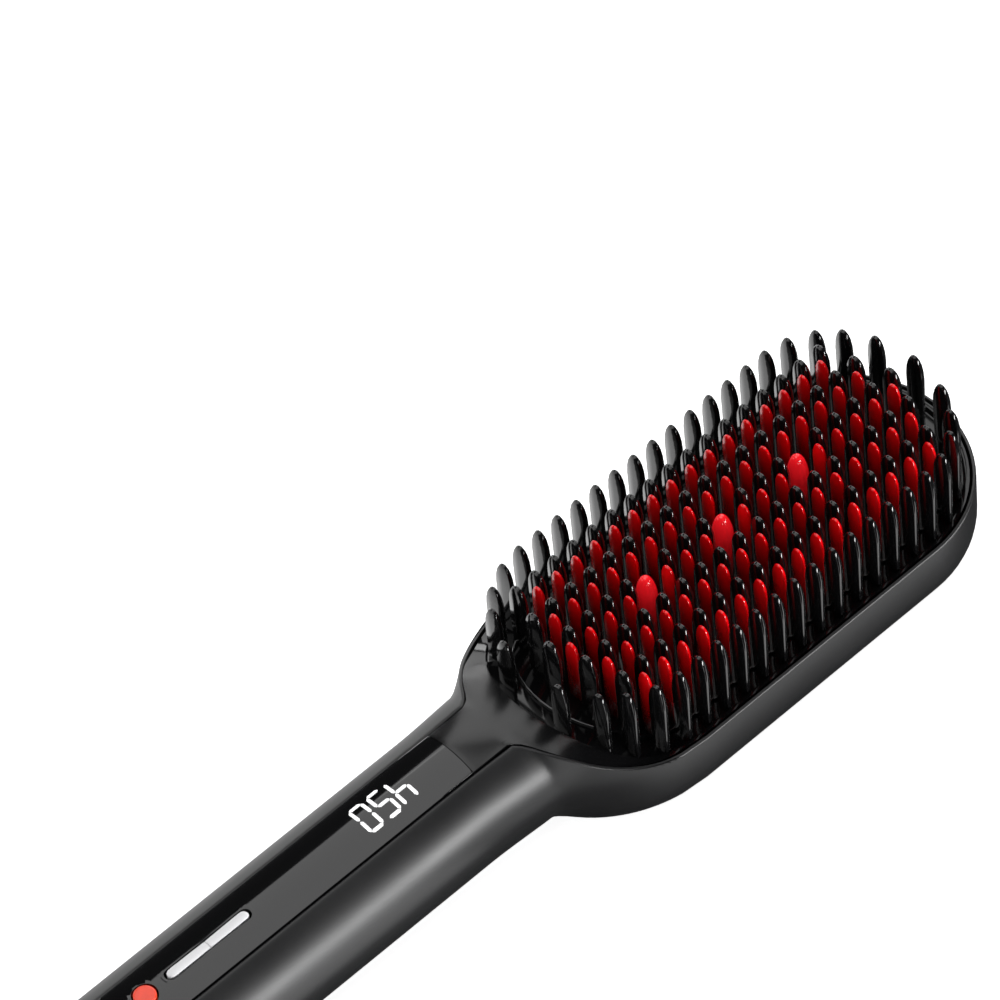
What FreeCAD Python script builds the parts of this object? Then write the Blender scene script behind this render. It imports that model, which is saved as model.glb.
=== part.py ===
"""Hair straightening brush: a flat heated head on a round handle, with its cord coiled behind it.

The frame has its origin on the back face, at the middle of the oval ring. +X runs from the handle
to the tip of the head, +Z out of the teeth, and the brush lies on its back on the plane z = 0.
All lengths are millimetres.
"""
import FreeCAD
import Part
import Sketcher
import math
import os
import re
from types import SimpleNamespace

from FreeCAD import Placement, Rotation, Vector

SIZES = {
    # Fits
    "fit_gap": 0.15,
    "run_gap": 0.05,
    "free_gap": 0.3,
    "overrun": 1.0,
    # Head shell
    "head_half": 38.5,
    "head_radius": 32.5,
    "head_depth": 20.2,
    "back_round": 8.0,
    "rim_wall": 2.2,
    "ledge_width": 1.3,
    "floor_wall": 2.0,
    "post_radius": 2.5,
    "post_inset": 14.5,
    "post_spread": 12.0,
    # Handle shell
    "handle_radius": 17.8,
    "handle_lift": 0.2,
    "handle_wall": 2.2,
    "root_inset": 11.5,
    "rail_inset": 1.5,
    "rail_depth": 4.0,
    # End cap
    "cap_depth": 6.0,
    "cap_round": 4.0,
    "spigot_depth": 3.0,
    "spigot_wall": 2.0,
    # Oval ring on the back
    "ring_run": 1.5,
    "ring_inset": 8.5,
    "ring_band": 5.0,
    "ring_depth": 1.2,
    "ring_recess": 0.1,
    # Front frame with its neck
    "plate_level": 18.0,
    "plate_wall": 2.0,
    "ledge_level": 14.2,
    "ledge_band": 3.95,
    "neck_inset": 5.4,
    "neck_length": 24.4,
    "neck_wall": 2.0,
    "neck_sweep": 44.0,
    "recess_inset": 0.7,
    # Guard plate
    "guard_inset": 1.5,
    "guard_margin": 7.8,
    "guard_rise": 1.0,
    # Teeth
    "rim_run": 2.45,
    "rim_inset": 5.5,
    "tooth_radius": 2.05,
    "tooth_nose": 1.2,
    "tooth_taper": 6.0,
    "tooth_level": 43.0,
    "tooth_crown": 2.0,
    "end_inset": 9.0,
    "heat_radius": 1.5,
    "heat_nose": 0.9,
    "heat_taper": 5.0,
    "heat_drop": 1.2,
    "heat_shift": 2.2,
    "outlet_radius": 2.75,
    "outlet_stem": 1.6,
    "outlet_nose": 1.6,
    "outlet_taper": 5.0,
    "outlet_level": 42.6,
    "outlet_back": 1.3,
    "outlet_shift": 0.6,
    # Heater stack under the guard plate
    "hot_margin": 0.5,
    "hot_wall": 2.0,
    "hot_level": 13.8,
    "strip_width": 9.0,
    "strip_depth": 1.6,
    "clamp_inset": 3.5,
    "clamp_margin": 5.0,
    "clamp_wall": 1.0,
    "sheet_inset": 8.5,
    "sheet_margin": 12.5,
    "sheet_wall": 1.6,
    "fuse_radius": 1.2,
    "fuse_length": 9.0,
    "sensor_radius": 1.0,
    "sensor_length": 4.0,
    "sensor_run": 2.5,
    # Screws
    "screw_radius": 1.1,
    "screw_length": 9.2,
    "screw_head": 2.0,
    "screw_head_depth": 1.8,
    "screw_seat": 3.3,
    "boss_radius": 2.4,
    "boss_level": 6.0,
    "small_screw": 0.9,
    "small_screw_head": 1.6,
    "small_screw_depth": 1.2,
    "small_screw_length": 3.0,
    # Control panel
    "panel_wall": 2.2,
    "panel_margin": 3.0,
    "board_inset": 7.0,
    "board_clear": 0.5,
    "board_wall": 1.6,
    "board_drop": 9.8,
    "board_hole_margin": 2.4,
    "board_hole_inset": 4.0,
    "display_inset": 20.7,
    "display_length": 22.0,
    "display_width": 11.0,
    "display_depth": 3.6,
    "switch_width": 6.0,
    "switch_depth": 2.2,
    "plunger_radius": 1.5,
    "power_inset": 19.5,
    "panel_tail": 14.0,
    "power_radius": 3.0,
    "power_proud": 0.4,
    "power_flange": 4.2,
    "power_flange_wall": 0.8,
    "power_flange_drop": 3.4,
    "power_travel": 0.7,
    "lamp_width": 1.8,
    "lamp_depth": 1.5,
    "rocker_inset": 55.8,
    "rocker_length": 25.3,
    "rocker_width": 2.8,
    "rocker_proud": 0.6,
    "rocker_foot": 6.0,
    "rocker_foot_wall": 1.1,
    "rocker_foot_drop": 3.8,
    "rocker_travel": 0.5,
    "rocker_hub": 3.2,
    "rocker_hub_depth": 2.4,
    "rocker_contact": 9.5,
    "pin_radius": 0.6,
    "pin_drop": 4.2,
    "lug_gap": 7.8,
    "lug_wall": 1.5,
    "lug_width": 4.0,
    "lug_depth": 3.0,
    "lug_drop": 2.2,
    # Ion generator and wires
    "ion_inset": 15.0,
    "ion_length": 28.0,
    "ion_width": 16.0,
    "ion_clear": 5.2,
    "heater_wire": 0.6,
    "mains_wire": 0.8,
    "wire_drop": 4.9,
    "wire_inset": 7.0,
    "wire_sag": 4.0,
    "wire_run": 8.5,
    # Swivel at the end of the handle
    "journal_inset": 9.1,
    "journal_length": 14.0,
    "collar_lip": 2.0,
    "collar_wall": 2.0,
    "collar_gap": 0.1,
    "clip_lip": 2.1,
    "clip_wall": 1.2,
    "clip_groove": 1.0,
    "slip_ring_wall": 0.5,
    "slip_ring_width": 1.0,
    "slip_ring_pitch": 2.0,
    "block_wall": 4.5,
    "relief_root": 6.2,
    "relief_waist": 5.4,
    "relief_end": 4.5,
    "relief_length": 48.0,
    "relief_plain": 20.0,
    "relief_groove": 1.2,
    "relief_slot": 1.6,
    # Cord, coil, tie and plug
    "cord_radius": 3.0,
    "coil_gap": 0.6,
    "coil_radius": 40.0,
    "coil_stand": 108.0,
    "lead_run": 30.0,
    "lead_turn": 30.0,
    "tail_run": 28.0,
    "tail_fall": 62.0,
    "tail_length": 90.0,
    "tie_wall": 0.9,
    "tie_width": 10.0,
    "plug_length": 30.0,
    "plug_width": 24.0,
    "plug_depth": 18.0,
    "plug_round": 4.0,
    "plug_tail": 12.0,
    "plug_tail_root": 6.0,
    "plug_tail_end": 4.2,
    "blade_length": 17.0,
    "blade_width": 6.3,
    "blade_wall": 1.5,
    "blade_pitch": 12.7,
}

RIM_TEETH = 14
PANEL_ANGLE = 54.0
FIT_ANGLE = 0.5
ROW_REACH_SHARES = {-2: 8.0, -1: 8.5, 0: 9.0, 1: 8.5, 2: 8.0}
TIP_ARC_ANGLES = (0.0, 24.0, 42.0, 57.0, 74.0)
NECK_ARC_ANGLES = (20.0, 42.0, 57.0, 74.0)
OUTLET_COLUMNS = (-4.0, 0.0, 4.0)
SCREW_ANGLE = 45.0
RELIEF_RIBS = 7
COIL_LAYERS = 4
COIL_START_ANGLE = 45.0
COIL_TURN = 360.0 * 7.0 + 225.0
ARC_SHARE = 0.45
HALF_TURN_SHARE = 0.5
NEXT_PASS_SPOTS = 6

# Sizes and stations that follow from the ones above, as formulas in the same sheet.
RULES = {
    # Along the brush, from the middle of the head back to the end of the handle
    "ring_half": "head_half + ring_run",
    "guard_half": "head_half - guard_inset",
    "handle_root": "head_half + root_inset",
    "neck_foot": "head_half + head_radius - neck_inset",
    "panel_seam": "neck_foot + neck_length",
    "recess_radius": "head_radius - rim_wall - recess_inset",
    "display_place": "panel_seam + display_inset",
    "rocker_place": "display_place + rocker_inset",
    "power_place": "rocker_place + power_inset",
    "panel_end": "power_place + panel_tail",
    "tube_end": "panel_end + panel_margin",
    "handle_reach": "tube_end + cap_depth",
    # Across the head
    "ring_radius": "head_radius - ring_inset",
    "guard_radius": "head_radius - guard_margin",
    "tooth_pitch": f"2 * (head_half + rim_run) / {RIM_TEETH - 1}",
    "row_pitch": "(head_radius - rim_inset) / 3",
    "end_reach": "head_radius - end_inset",
    # Heater stack
    "hot_half": "guard_half",
    "hot_radius": "guard_radius - hot_margin",
    "sheet_half": "head_half - sheet_inset",
    "sheet_radius": "head_radius - sheet_margin",
    "strip_length": "2 * sheet_half",
    "strip_pitch": "2 * row_pitch",
    "clamp_length": "2 * (head_half - clamp_inset)",
    "clamp_width": "strip_pitch + strip_width + clamp_margin",
    "sensor_reach": "head_half + sensor_run",
    "post_reach": "head_half - post_inset",
    # Levels and fits inside the handle
    "axis_level": "handle_radius + handle_lift",
    "panel_top": "axis_level + handle_radius",
    "bore_radius": "handle_radius - handle_wall",
    "board_level": "panel_top - board_drop",
    "board_face": "board_level + board_wall",
    "board_start": "panel_seam + board_inset",
    "board_length": "panel_end - panel_seam - 2 * board_inset",
    "board_width": "2 * sqrt(bore_radius ^ 2 - (board_face - axis_level) ^ 2) - 2 * board_clear",
    "board_hole_side": "board_width / 2 - board_hole_margin",
    "rail_gap": "board_hole_side - rail_inset",
    "rail_reach": "sqrt(bore_radius ^ 2 - (board_level - rail_depth - axis_level) ^ 2) + fit_gap",
    "ion_place": "board_start + ion_inset",
    "ion_level": "axis_level - sqrt((bore_radius - fit_gap) ^ 2 - ion_width ^ 2 / 4)",
    "ion_depth": "board_level - rail_depth - ion_level - ion_clear",
    "journal_radius": "bore_radius - journal_inset",
    "collar_radius": "journal_radius + collar_lip",
    "clip_radius": "journal_radius + clip_lip",
    "block_width": "sqrt(2) * (bore_radius - free_gap)",
    "carrier_bore": "journal_radius + slip_ring_wall + free_gap",
    "hot_base": "hot_level - hot_wall",
    "strip_base": "hot_base - strip_depth",
    "clamp_base": "strip_base - clamp_wall",
    "sheet_base": "clamp_base - sheet_wall",
}

doc = FreeCAD.newDocument("straightening_brush")
sheet = doc.addObject("Spreadsheet::Sheet", "Sizes")
nodes = {}


def fill_sheet():
    """Write the lengths and rules into the sheet and read them back for the shapes made in code."""
    cells = {alias: str(value) for alias, value in SIZES.items()}
    cells.update({alias: f"={rule}" for alias, rule in RULES.items()})
    for row, (alias, content) in enumerate(cells.items(), start=1):
        sheet.set(f"A{row}", alias.replace("_", " "))
        sheet.set(f"B{row}", content)
        sheet.setAlias(f"B{row}", alias)
    doc.recompute()
    return SimpleNamespace(**{alias: float(sheet.get(alias)) for alias in cells})


s = fill_sheet()
TURNS = {
    "X": Rotation(Vector(0, 1, 0), 90),
    "Y": Rotation(Vector(1, 0, 0), -90),
    "Z": Rotation(),
}


def formula(text):
    """Point each size named in a formula at its cell."""
    def cell(match):
        word = match.group()
        return f"Sizes.{word}" if word in SIZES or word in RULES else word
    return re.sub(r"[a-z][a-z_]*", cell, text)


def bind(item, **formulas):
    for name, text in formulas.items():
        item.setExpression(name, formula(text))


def seat(item, x, y, z, along="Z"):
    item.Placement = Placement(Vector(), TURNS[along])
    for name, text in zip("xyz", (x, y, z)):
        item.setExpression(f"Placement.Base.{name}", formula(text))


def box(label, x, y, z, length, width, height):
    item = doc.addObject("Part::Box", label)
    bind(item, Length=length, Width=width, Height=height)
    seat(item, x, y, z)
    return item


def block(label, x, z, length, width, height):
    """A box astride the middle plane."""
    return box(label, x, f"-({width}) / 2", z, length, width, height)


def rod(label, radius, length, x, y, z, along="Z"):
    item = doc.addObject("Part::Cylinder", label)
    bind(item, Radius=radius, Height=length)
    seat(item, x, y, z, along)
    return item


def join(label, *pieces):
    item = doc.addObject("Part::MultiFuse", label)
    item.Shapes = pieces
    item.Refine = True
    return item


def overlap(label, *pieces):
    item = doc.addObject("Part::MultiCommon", label)
    item.Shapes = pieces
    return item


def cut(label, base, *tools):
    item = doc.addObject("Part::Cut", label)
    item.Base = base
    item.Tool = tools[0] if len(tools) == 1 else join(f"{label}_tools", *tools)
    return item


def group(label, *pieces):
    item = doc.addObject("Part::Compound", label)
    item.Links = pieces
    return item


def made(label, shape):
    """A piece whose shape is worked out in code from the sheet's values."""
    item = doc.addObject("Part::Feature", label)
    item.Shape = shape
    item.Placement = shape.Placement
    return item


def keep(item):
    nodes[item.Label] = item
    return item


def origin_plane(body, role):
    return next(plane for plane in body.Origin.OriginFeatures if plane.Role == role)


def stadium(label, half, radius, bottom, height):
    """A body padded up from a slot outline of two straight sides and two half circles."""
    body = doc.addObject("PartDesign::Body", label)
    sketch = body.newObject("Sketcher::SketchObject", f"{label}_outline")
    sketch.AttachmentSupport = (origin_plane(body, "XY_Plane"), [""])
    sketch.MapMode = "FlatFace"
    sketch.setExpression("AttachmentOffset.Base.z", formula(bottom))
    reach, bulge = s.head_half, s.head_radius
    up = Vector(0, 0, 1)
    right, left = Vector(reach, 0, 0), Vector(-reach, 0, 0)
    quarter = math.pi / 2
    sketch.addGeometry([
        Part.LineSegment(Vector(-reach, -bulge, 0), Vector(reach, -bulge, 0)),
        Part.ArcOfCircle(Part.Circle(right, up, bulge), -quarter, quarter),
        Part.LineSegment(Vector(reach, bulge, 0), Vector(-reach, bulge, 0)),
        Part.ArcOfCircle(Part.Circle(left, up, bulge), quarter, 3 * quarter),
    ])
    for first, second in ((0, 1), (1, 2), (2, 3), (3, 0)):
        sketch.addConstraint(Sketcher.Constraint("Tangent", first, 2, second, 1))
    sketch.addConstraint(Sketcher.Constraint("PointOnObject", 1, 3, -1))
    sketch.addConstraint(Sketcher.Constraint("PointOnObject", 3, 3, -1))
    sketch.addConstraint(Sketcher.Constraint("Equal", 1, 3))
    limits = {
        half: (Sketcher.Constraint("DistanceX", -1, 1, 1, 3, reach),
               Sketcher.Constraint("DistanceX", 3, 3, -1, 1, reach)),
        radius: (Sketcher.Constraint("Radius", 1, bulge),),
    }
    for text, constraints in limits.items():
        for constraint in constraints:
            index = sketch.addConstraint(constraint)
            sketch.setExpression(f"Constraints[{index}]", formula(text))
    pad = body.newObject("PartDesign::Pad", f"{label}_pad")
    pad.Profile = sketch
    bind(pad, Length=height)
    body.Tip = pad
    return body


def round_bottom(body, radius):
    """Round a padded body's lowest edges."""
    doc.recompute()
    lowest = body.Shape.BoundBox.ZMin
    names = [f"Edge{number}" for number, edge in enumerate(body.Shape.Edges, start=1)
             if edge.BoundBox.ZMax - lowest < s.run_gap]
    padded = body.Tip
    fillet = body.newObject("PartDesign::Fillet", f"{body.Label}_fillet")
    fillet.Base = (padded, names)
    bind(fillet, Radius=radius)
    body.Tip = fillet
    return body


def turned(outline, axis=Vector(0, 0, 1), base=Vector()):
    """A solid of revolution from a closed outline of edges."""
    face = Part.Face(Part.Wire(Part.__sortEdges__([edge.toShape() for edge in outline])))
    return Part.makeSolid(face.revolve(base, axis, 360).Shells[0])


def turned_on_handle(stations):
    """A solid turned about the handle's axis from (x, radius) stations."""
    points = [Vector(x, 0, s.axis_level + radius) for x, radius in stations]
    points.insert(0, Vector(stations[0][0], 0, s.axis_level))
    points.append(Vector(stations[-1][0], 0, s.axis_level))
    points.append(points[0])
    face = Part.Face(Part.makePolygon(points))
    return Part.makeSolid(face.revolve(Vector(0, 0, s.axis_level), Vector(1, 0, 0), 360).Shells[0])


def sector(radius, near, far, angle):
    """A wedge of a cylinder about the handle's axis, centred on the top of the handle."""
    wedge = Part.makeCylinder(radius, far - near, Vector(), Vector(0, 0, 1), angle)
    wedge.rotate(Vector(), Vector(0, 0, 1), -angle / 2)
    axes = FreeCAD.Matrix(0, 0, 1, near, 0, -1, 0, 0, 1, 0, 0, s.axis_level)
    return wedge.transformed(axes)


def spike(radius, nose, taper, height, stem):
    """A round tooth on z = 0: a stem, a long curved swelling to its radius and a ball nose."""
    sweep = (radius ** 2 + (taper - nose) ** 2 - nose ** 2) / (2 * (radius - nose))
    lean = math.atan2(taper - nose, sweep - radius)
    dip = math.acos((stem - radius + sweep) / sweep)
    hub = Vector(radius - sweep, 0, height - taper)
    tip = Vector(0, 0, height - nose)

    def ray(centre, length, angle):
        return centre + Vector(length * math.cos(angle), 0, length * math.sin(angle))

    edge, touch = ray(hub, sweep, -dip), ray(tip, nose, lean)
    foot, top = Vector(stem, 0, 0), Vector(0, 0, height)
    return turned([
        Part.LineSegment(Vector(), foot),
        Part.LineSegment(foot, edge),
        Part.Arc(edge, ray(hub, sweep, (lean - dip) / 2), touch),
        Part.Arc(touch, ray(tip, nose, (lean + math.pi / 2) / 2), top),
        Part.LineSegment(top, Vector()),
    ])


def standing(shape, places):
    """Copies of a shape at the given places."""
    return [shape.translated(place) for place in places]


def bent_path(points):
    """Straight runs joined by the largest tangent arcs that the runs allow, with their radii."""
    edges, radii = [], []
    start = points[0]
    for before, corner, after in zip(points, points[1:], points[2:]):
        back = (before - corner).normalize()
        ahead = (after - corner).normalize()
        half = (math.pi - back.getAngle(ahead)) / 2
        reach = ARC_SHARE * min((before - corner).Length, (after - corner).Length)
        radius = reach / math.tan(half)
        bisector = (back + ahead).normalize()
        enter, leave = corner + back * reach, corner + ahead * reach
        middle = corner + bisector * (radius / math.cos(half) - radius)
        edges.append(Part.LineSegment(start, enter).toShape())
        edges.append(Part.Arc(enter, middle, leave).toShape())
        radii.append(radius)
        start = leave
    edges.append(Part.LineSegment(start, points[-1]).toShape())
    return Part.Wire(edges), radii


def tube(path, radius):
    """A round tube along a path, with its volume compared with section times length."""
    first = path.Edges[0]
    begin = first.valueAt(first.FirstParameter)
    ring = Part.Circle(begin, first.tangentAt(first.FirstParameter), radius).toShape()
    solid = path.makePipeShell([Part.Wire([ring])], True, False)
    solid = solid if solid.ShapeType == "Solid" else Part.makeSolid(solid)
    share = solid.Volume / (math.pi * radius ** 2 * path.Length)
    print(f"tube length {path.Length:.1f} volume share {share:.4f}")
    return solid


def envelope_pieces():
    """The outer form: the head block and the handle, cut back along the neck and the rim."""
    head = round_bottom(stadium("head_form", "head_half", "head_radius", "0", "panel_top"),
                        "back_round")
    handle = rod("handle_form", "handle_radius", "tube_end - handle_root",
                 "-tube_end", "0", "axis_level", "X")
    whole = join("outer_form", head, handle)
    return cut("brush_form", whole, made("neck_cutter", neck_cutter()))


def neck_cutter():
    """Everything above the shoulders and the rim. Two equal arcs fall from the handle to the rim."""
    wide = s.head_radius + s.overrun
    far = s.head_half + wide
    roof = s.panel_top + s.overrun
    crest = Vector(-s.panel_seam, -wide, s.panel_top + s.fit_gap)
    landing = Vector(s.neck_sweep - s.panel_seam, -wide, s.head_depth)
    middle = (crest + landing) / 2
    run, drop = middle.x - crest.x, crest.z - middle.z
    bend = (run ** 2 + drop ** 2) / (2 * drop)
    turn = math.asin(run / bend) / 2
    bow = Vector(bend * math.sin(turn), 0, bend * (math.cos(turn) - 1))
    corners = [landing, Vector(far, -wide, s.head_depth), Vector(far, -wide, roof),
               Vector(-s.panel_seam, -wide, roof), crest]
    edges = [Part.Arc(crest, crest + bow, middle), Part.Arc(middle, landing - bow, landing)]
    edges += [Part.LineSegment(start, end) for start, end in zip(corners, corners[1:])]
    face = Part.Face(Part.Wire([edge.toShape() for edge in edges]))
    return face.extrude(Vector(0, 2 * wide, 0))


def neck_slab():
    """The neck's top layer, flush with the shoulders. The recess of the teeth cuts it off."""
    return neck_cutter().translated(Vector(0, 0, -s.neck_wall))


def screw_places():
    """The case screws, under the ring and beside its ends."""
    reach = s.ring_radius - s.ring_band / 2
    turn = math.radians(SCREW_ANGLE)
    x = s.ring_half + reach * math.cos(turn)
    y = reach * math.sin(turn)
    return [Vector(along * x, side * y, 0) for along in (-1, 1) for side in (-1, 1)]


def upright(radius, bottom, top, places):
    return Part.makeCompound(standing(Part.makeCylinder(radius, top - bottom, Vector(0, 0, bottom)),
                                      places))


def back_housing(form):
    """The matte shell: the back and sides of the head and the tube of the handle."""
    lower = stadium("head_hollow", "head_half", "head_radius - rim_wall - ledge_width",
                    "floor_wall", "panel_top")
    upper = stadium("rim_hollow", "head_half", "head_radius - rim_wall",
                    "plate_level - plate_wall", "panel_top")
    bore = rod("handle_bore", "bore_radius", "tube_end + overrun - handle_root",
               "-tube_end - overrun", "0", "axis_level", "X")
    slot = made("panel_slot", sector(s.handle_radius + s.overrun, -s.panel_end, -s.neck_foot,
                                     PANEL_ANGLE))
    shell = cut("shell_form", form, lower, upper, bore, slot)
    rails = [box(f"board_rail_{name}", "-(board_start + board_length)", y,
                 "board_level - rail_depth", "board_length", "rail_reach - rail_gap", "rail_depth")
             for name, y in (("left", "rail_gap"), ("right", "-rail_reach"))]
    posts = [rod(f"sheet_post_{number}", "post_radius", "sheet_base - floor_wall / 2",
                 f"{x} * post_reach", f"{y} * post_spread", "floor_wall / 2")
             for number, (x, y) in enumerate(((-1, -1), (-1, 1), (1, -1), (1, 1)))]
    places = screw_places()
    bosses = made("screw_bosses", upright(s.boss_radius + s.floor_wall, s.floor_wall / 2,
                                          s.boss_level, places))
    solid = join("shell_with_bosses", shell, bosses, *rails, *posts)
    groove_outer = stadium("groove_outer", "ring_half", "ring_radius + fit_gap", "-overrun",
                           "overrun + ring_recess + ring_depth")
    groove_inner = stadium("groove_inner", "ring_half", "ring_radius - ring_band - fit_gap",
                           "-2 * overrun", "head_depth")
    groove = cut("ring_groove", groove_outer, groove_inner)
    sinks = made("screw_sinks", upright(s.screw_head + s.free_gap, -s.overrun, s.screw_seat, places))
    holes = made("screw_holes", upright(s.screw_radius + s.fit_gap, -s.overrun,
                                        s.boss_level + s.overrun, places))
    pilots = made("board_pilots", upright(
        s.small_screw + s.run_gap, s.board_level - s.rail_depth, s.board_level + s.overrun,
        board_screw_places()))
    return keep(cut("back_housing", solid, groove, sinks, holes, pilots))


def board_screw_places():
    near = -s.board_start - s.board_hole_inset
    far = -s.board_start - s.board_length + s.board_hole_inset
    return [Vector(x, side * s.board_hole_side, 0) for x in (near, far) for side in (-1, 1)]


def ring_trim():
    """The coloured oval ring pressed into the back."""
    outer = stadium("ring_outer", "ring_half", "ring_radius", "ring_recess", "ring_depth")
    inner = stadium("ring_inner", "ring_half", "ring_radius - ring_band", "-overrun", "head_depth")
    return keep(cut("ring_trim", outer, inner))


def front_frame(form):
    """The gloss frame: a plate inside the rim, a ledge for the guard plate, bosses and the neck.

    The neck runs out from the panel and ends in a wall round the recess of the teeth."""
    plate = stadium("frame_plate", "head_half", "head_radius - rim_wall - fit_gap",
                    "plate_level - plate_wall", "plate_wall")
    ledge = stadium("frame_ledge", "guard_half", "guard_radius + fit_gap + ledge_width",
                    "ledge_level", "plate_level - plate_wall - ledge_level")
    hollow = rod("neck_room", "bore_radius - fit_gap", "tube_end - handle_root",
                 "-tube_end", "0", "axis_level", "X")
    wall = stadium("neck_wall_form", "head_half", "recess_radius + neck_wall",
                   "plate_level - plate_wall / 2", "panel_top")
    top = made("neck_top", sector(s.handle_radius + s.overrun, -s.panel_seam, -s.neck_foot,
                                  PANEL_ANGLE - 2 * FIT_ANGLE))
    slab = made("neck_slab", neck_slab())
    neck = overlap("neck_cover", join("neck_form", slab, wall), form,
                   join("neck_limit", hollow, top))
    places = screw_places()
    bosses = made("frame_bosses", upright(s.boss_radius, s.boss_level + s.free_gap,
                                          s.ledge_level + s.fit_gap, places))
    solid = join("frame_solid", plate, ledge, neck, bosses)
    recess = stadium("head_recess", "head_half", "recess_radius", "plate_level", "panel_top")
    opening = stadium("guard_opening", "guard_half", "guard_radius + fit_gap",
                      "plate_level - plate_wall", "head_depth")
    window = stadium("ledge_window", "guard_half", "guard_radius + fit_gap + ledge_width - ledge_band",
                     "floor_wall", "head_depth")
    pilots = made("frame_pilots", upright(s.screw_radius + s.run_gap, s.floor_wall,
                                          s.screw_seat + s.screw_length + s.free_gap, places))
    trim = block("neck_end_trim", "-panel_seam - overrun", "0", "overrun + fit_gap",
                 "2 * head_radius", "3 * head_depth")
    clear = made("frame_heat_holes", upright(s.heat_radius + s.fit_gap, s.ledge_level - s.overrun,
                                             s.plate_level, heat_places()))
    return keep(cut("front_frame", solid, recess, opening, window, pilots, trim, clear))


def guard_level():
    return s.plate_level + s.guard_rise


def crown(y):
    """Height of the tooth tips across the head: highest along the middle."""
    return s.tooth_level + s.tooth_crown * (1 - (y / (3 * s.row_pitch)) ** 2)


def tooth_rows():
    """Rows of guard teeth as (y, list of columns in pitches), alternate rows half a pitch off."""
    for row, reach in ROW_REACH_SHARES.items():
        yield row, [column - reach for column in range(int(2 * reach) + 1)]


def guard_places():
    return [Vector(column * s.tooth_pitch, row * s.row_pitch, 0)
            for row, columns in tooth_rows() for column in columns
            if row or column not in OUTLET_COLUMNS]


def heat_places():
    """One heated tooth between each pair of guard teeth, a little to the near side of the row."""
    return [Vector((column + 1 / 2) * s.tooth_pitch, row * s.row_pitch - s.heat_shift, 0)
            for row, columns in tooth_rows() for column in columns[:-1]
            if row or column + 1 not in OUTLET_COLUMNS]


def outlet_places():
    return [Vector(column * s.tooth_pitch - s.outlet_back, -s.outlet_shift, 0)
            for column in OUTLET_COLUMNS]


def guard_plate():
    """The raised inner plate that carries the guard teeth and clears the heated ones."""
    plate = stadium("guard_form", "guard_half", "guard_radius", "plate_level - plate_wall",
                    "plate_wall + guard_rise")
    low, high = s.plate_level - s.plate_wall - s.overrun, guard_level() + s.overrun
    holes = made("heat_holes", upright(s.heat_radius + s.fit_gap, low, high, heat_places()))
    return keep(cut("guard_plate", plate, holes))


def guard_teeth():
    level = guard_level()
    solids = [spike(s.tooth_radius, s.tooth_nose, s.tooth_taper, crown(place.y) - level,
                    s.tooth_radius).translated(place + Vector(0, 0, level))
              for place in guard_places()]
    return keep(made("guard_teeth", Part.makeCompound(solids)))


def rim_places():
    """Places round the rim: along the sides, round the tip and at the neck."""
    reach = (RIM_TEETH - 1) / 2 * s.tooth_pitch
    side = 3 * s.row_pitch
    for number in range(RIM_TEETH):
        for y in (-side, side):
            yield Vector(number * s.tooth_pitch - reach, y, 0)
    for end, angles in ((1, TIP_ARC_ANGLES), (-1, NECK_ARC_ANGLES)):
        for angle in angles:
            for way in ((1, -1) if angle else (1,)):
                turn = math.radians(angle)
                yield Vector(end * (reach + s.end_reach * math.cos(turn)),
                             way * side * math.sin(turn), 0)


def rim_teeth():
    tooth = spike(s.tooth_radius, s.tooth_nose, s.tooth_taper, s.tooth_level - s.plate_level, s.tooth_radius)
    solids = [tooth.translated(place + Vector(0, 0, s.plate_level)) for place in rim_places()]
    return keep(made("rim_teeth", Part.makeCompound(solids)))


def heating_plate():
    """The plate that carries the heated teeth, notched round the frame's bosses."""
    plate = stadium("hot_form", "hot_half", "hot_radius", "hot_base", "hot_wall")
    notches = made("boss_notches", upright(s.boss_radius + s.free_gap, s.boss_level, s.plate_level,
                                           screw_places()))
    return keep(cut("heating_plate", plate, notches))


def heating_teeth():
    level = s.hot_level
    solids = [spike(s.heat_radius, s.heat_nose, s.heat_taper,
                    crown(place.y + s.heat_shift) - s.heat_drop - level, s.heat_radius)
              .translated(place + Vector(0, 0, level)) for place in heat_places()]
    return keep(made("heating_teeth", Part.makeCompound(solids)))


def ion_outlets():
    """Egg-shaped outlets on slim stems along the middle row."""
    level = guard_level()
    egg = spike(s.outlet_radius, s.outlet_nose, s.outlet_taper, s.outlet_level - level, s.outlet_stem)
    lift = Vector(0, 0, level)
    return keep(made("ion_outlets", Part.makeCompound(
        standing(egg, [place + lift for place in outlet_places()]))))


def heater_stack():
    """Ceramic strips under the plate, a clamp that presses them on, and a mica sheet."""
    strips = [box(f"heater_strip_{name}", "-strip_length / 2",
                  f"{side} * strip_pitch / 2 - strip_width / 2", "strip_base", "strip_length",
                  "strip_width", "strip_depth")
              for name, side in (("left", 1), ("right", -1))]
    keep(group("heater_strips", *strips))
    keep(block("heater_clamp", "-clamp_length / 2", "clamp_base", "clamp_length", "clamp_width",
               "clamp_wall"))
    keep(stadium("insulation_sheet", "sheet_half", "sheet_radius", "sheet_base", "sheet_wall"))
    keep(rod("thermal_fuse", "fuse_radius", "fuse_length", "sensor_reach", "-fuse_length / 2",
             "hot_base - fuse_radius - run_gap", "Y"))
    keep(rod("thermistor", "sensor_radius", "sensor_length", "-sensor_reach", "-sensor_length / 2",
             "hot_base - sensor_radius - run_gap", "Y"))


def case_screws():
    head = Part.makeCylinder(s.screw_head, s.screw_head_depth,
                             Vector(0, 0, s.screw_seat - s.screw_head_depth))
    shank = Part.makeCylinder(s.screw_radius, s.screw_length, Vector(0, 0, s.screw_seat))
    screw = head.fuse(shank)
    return keep(made("case_screws", Part.makeCompound(standing(screw, screw_places()))))


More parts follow.
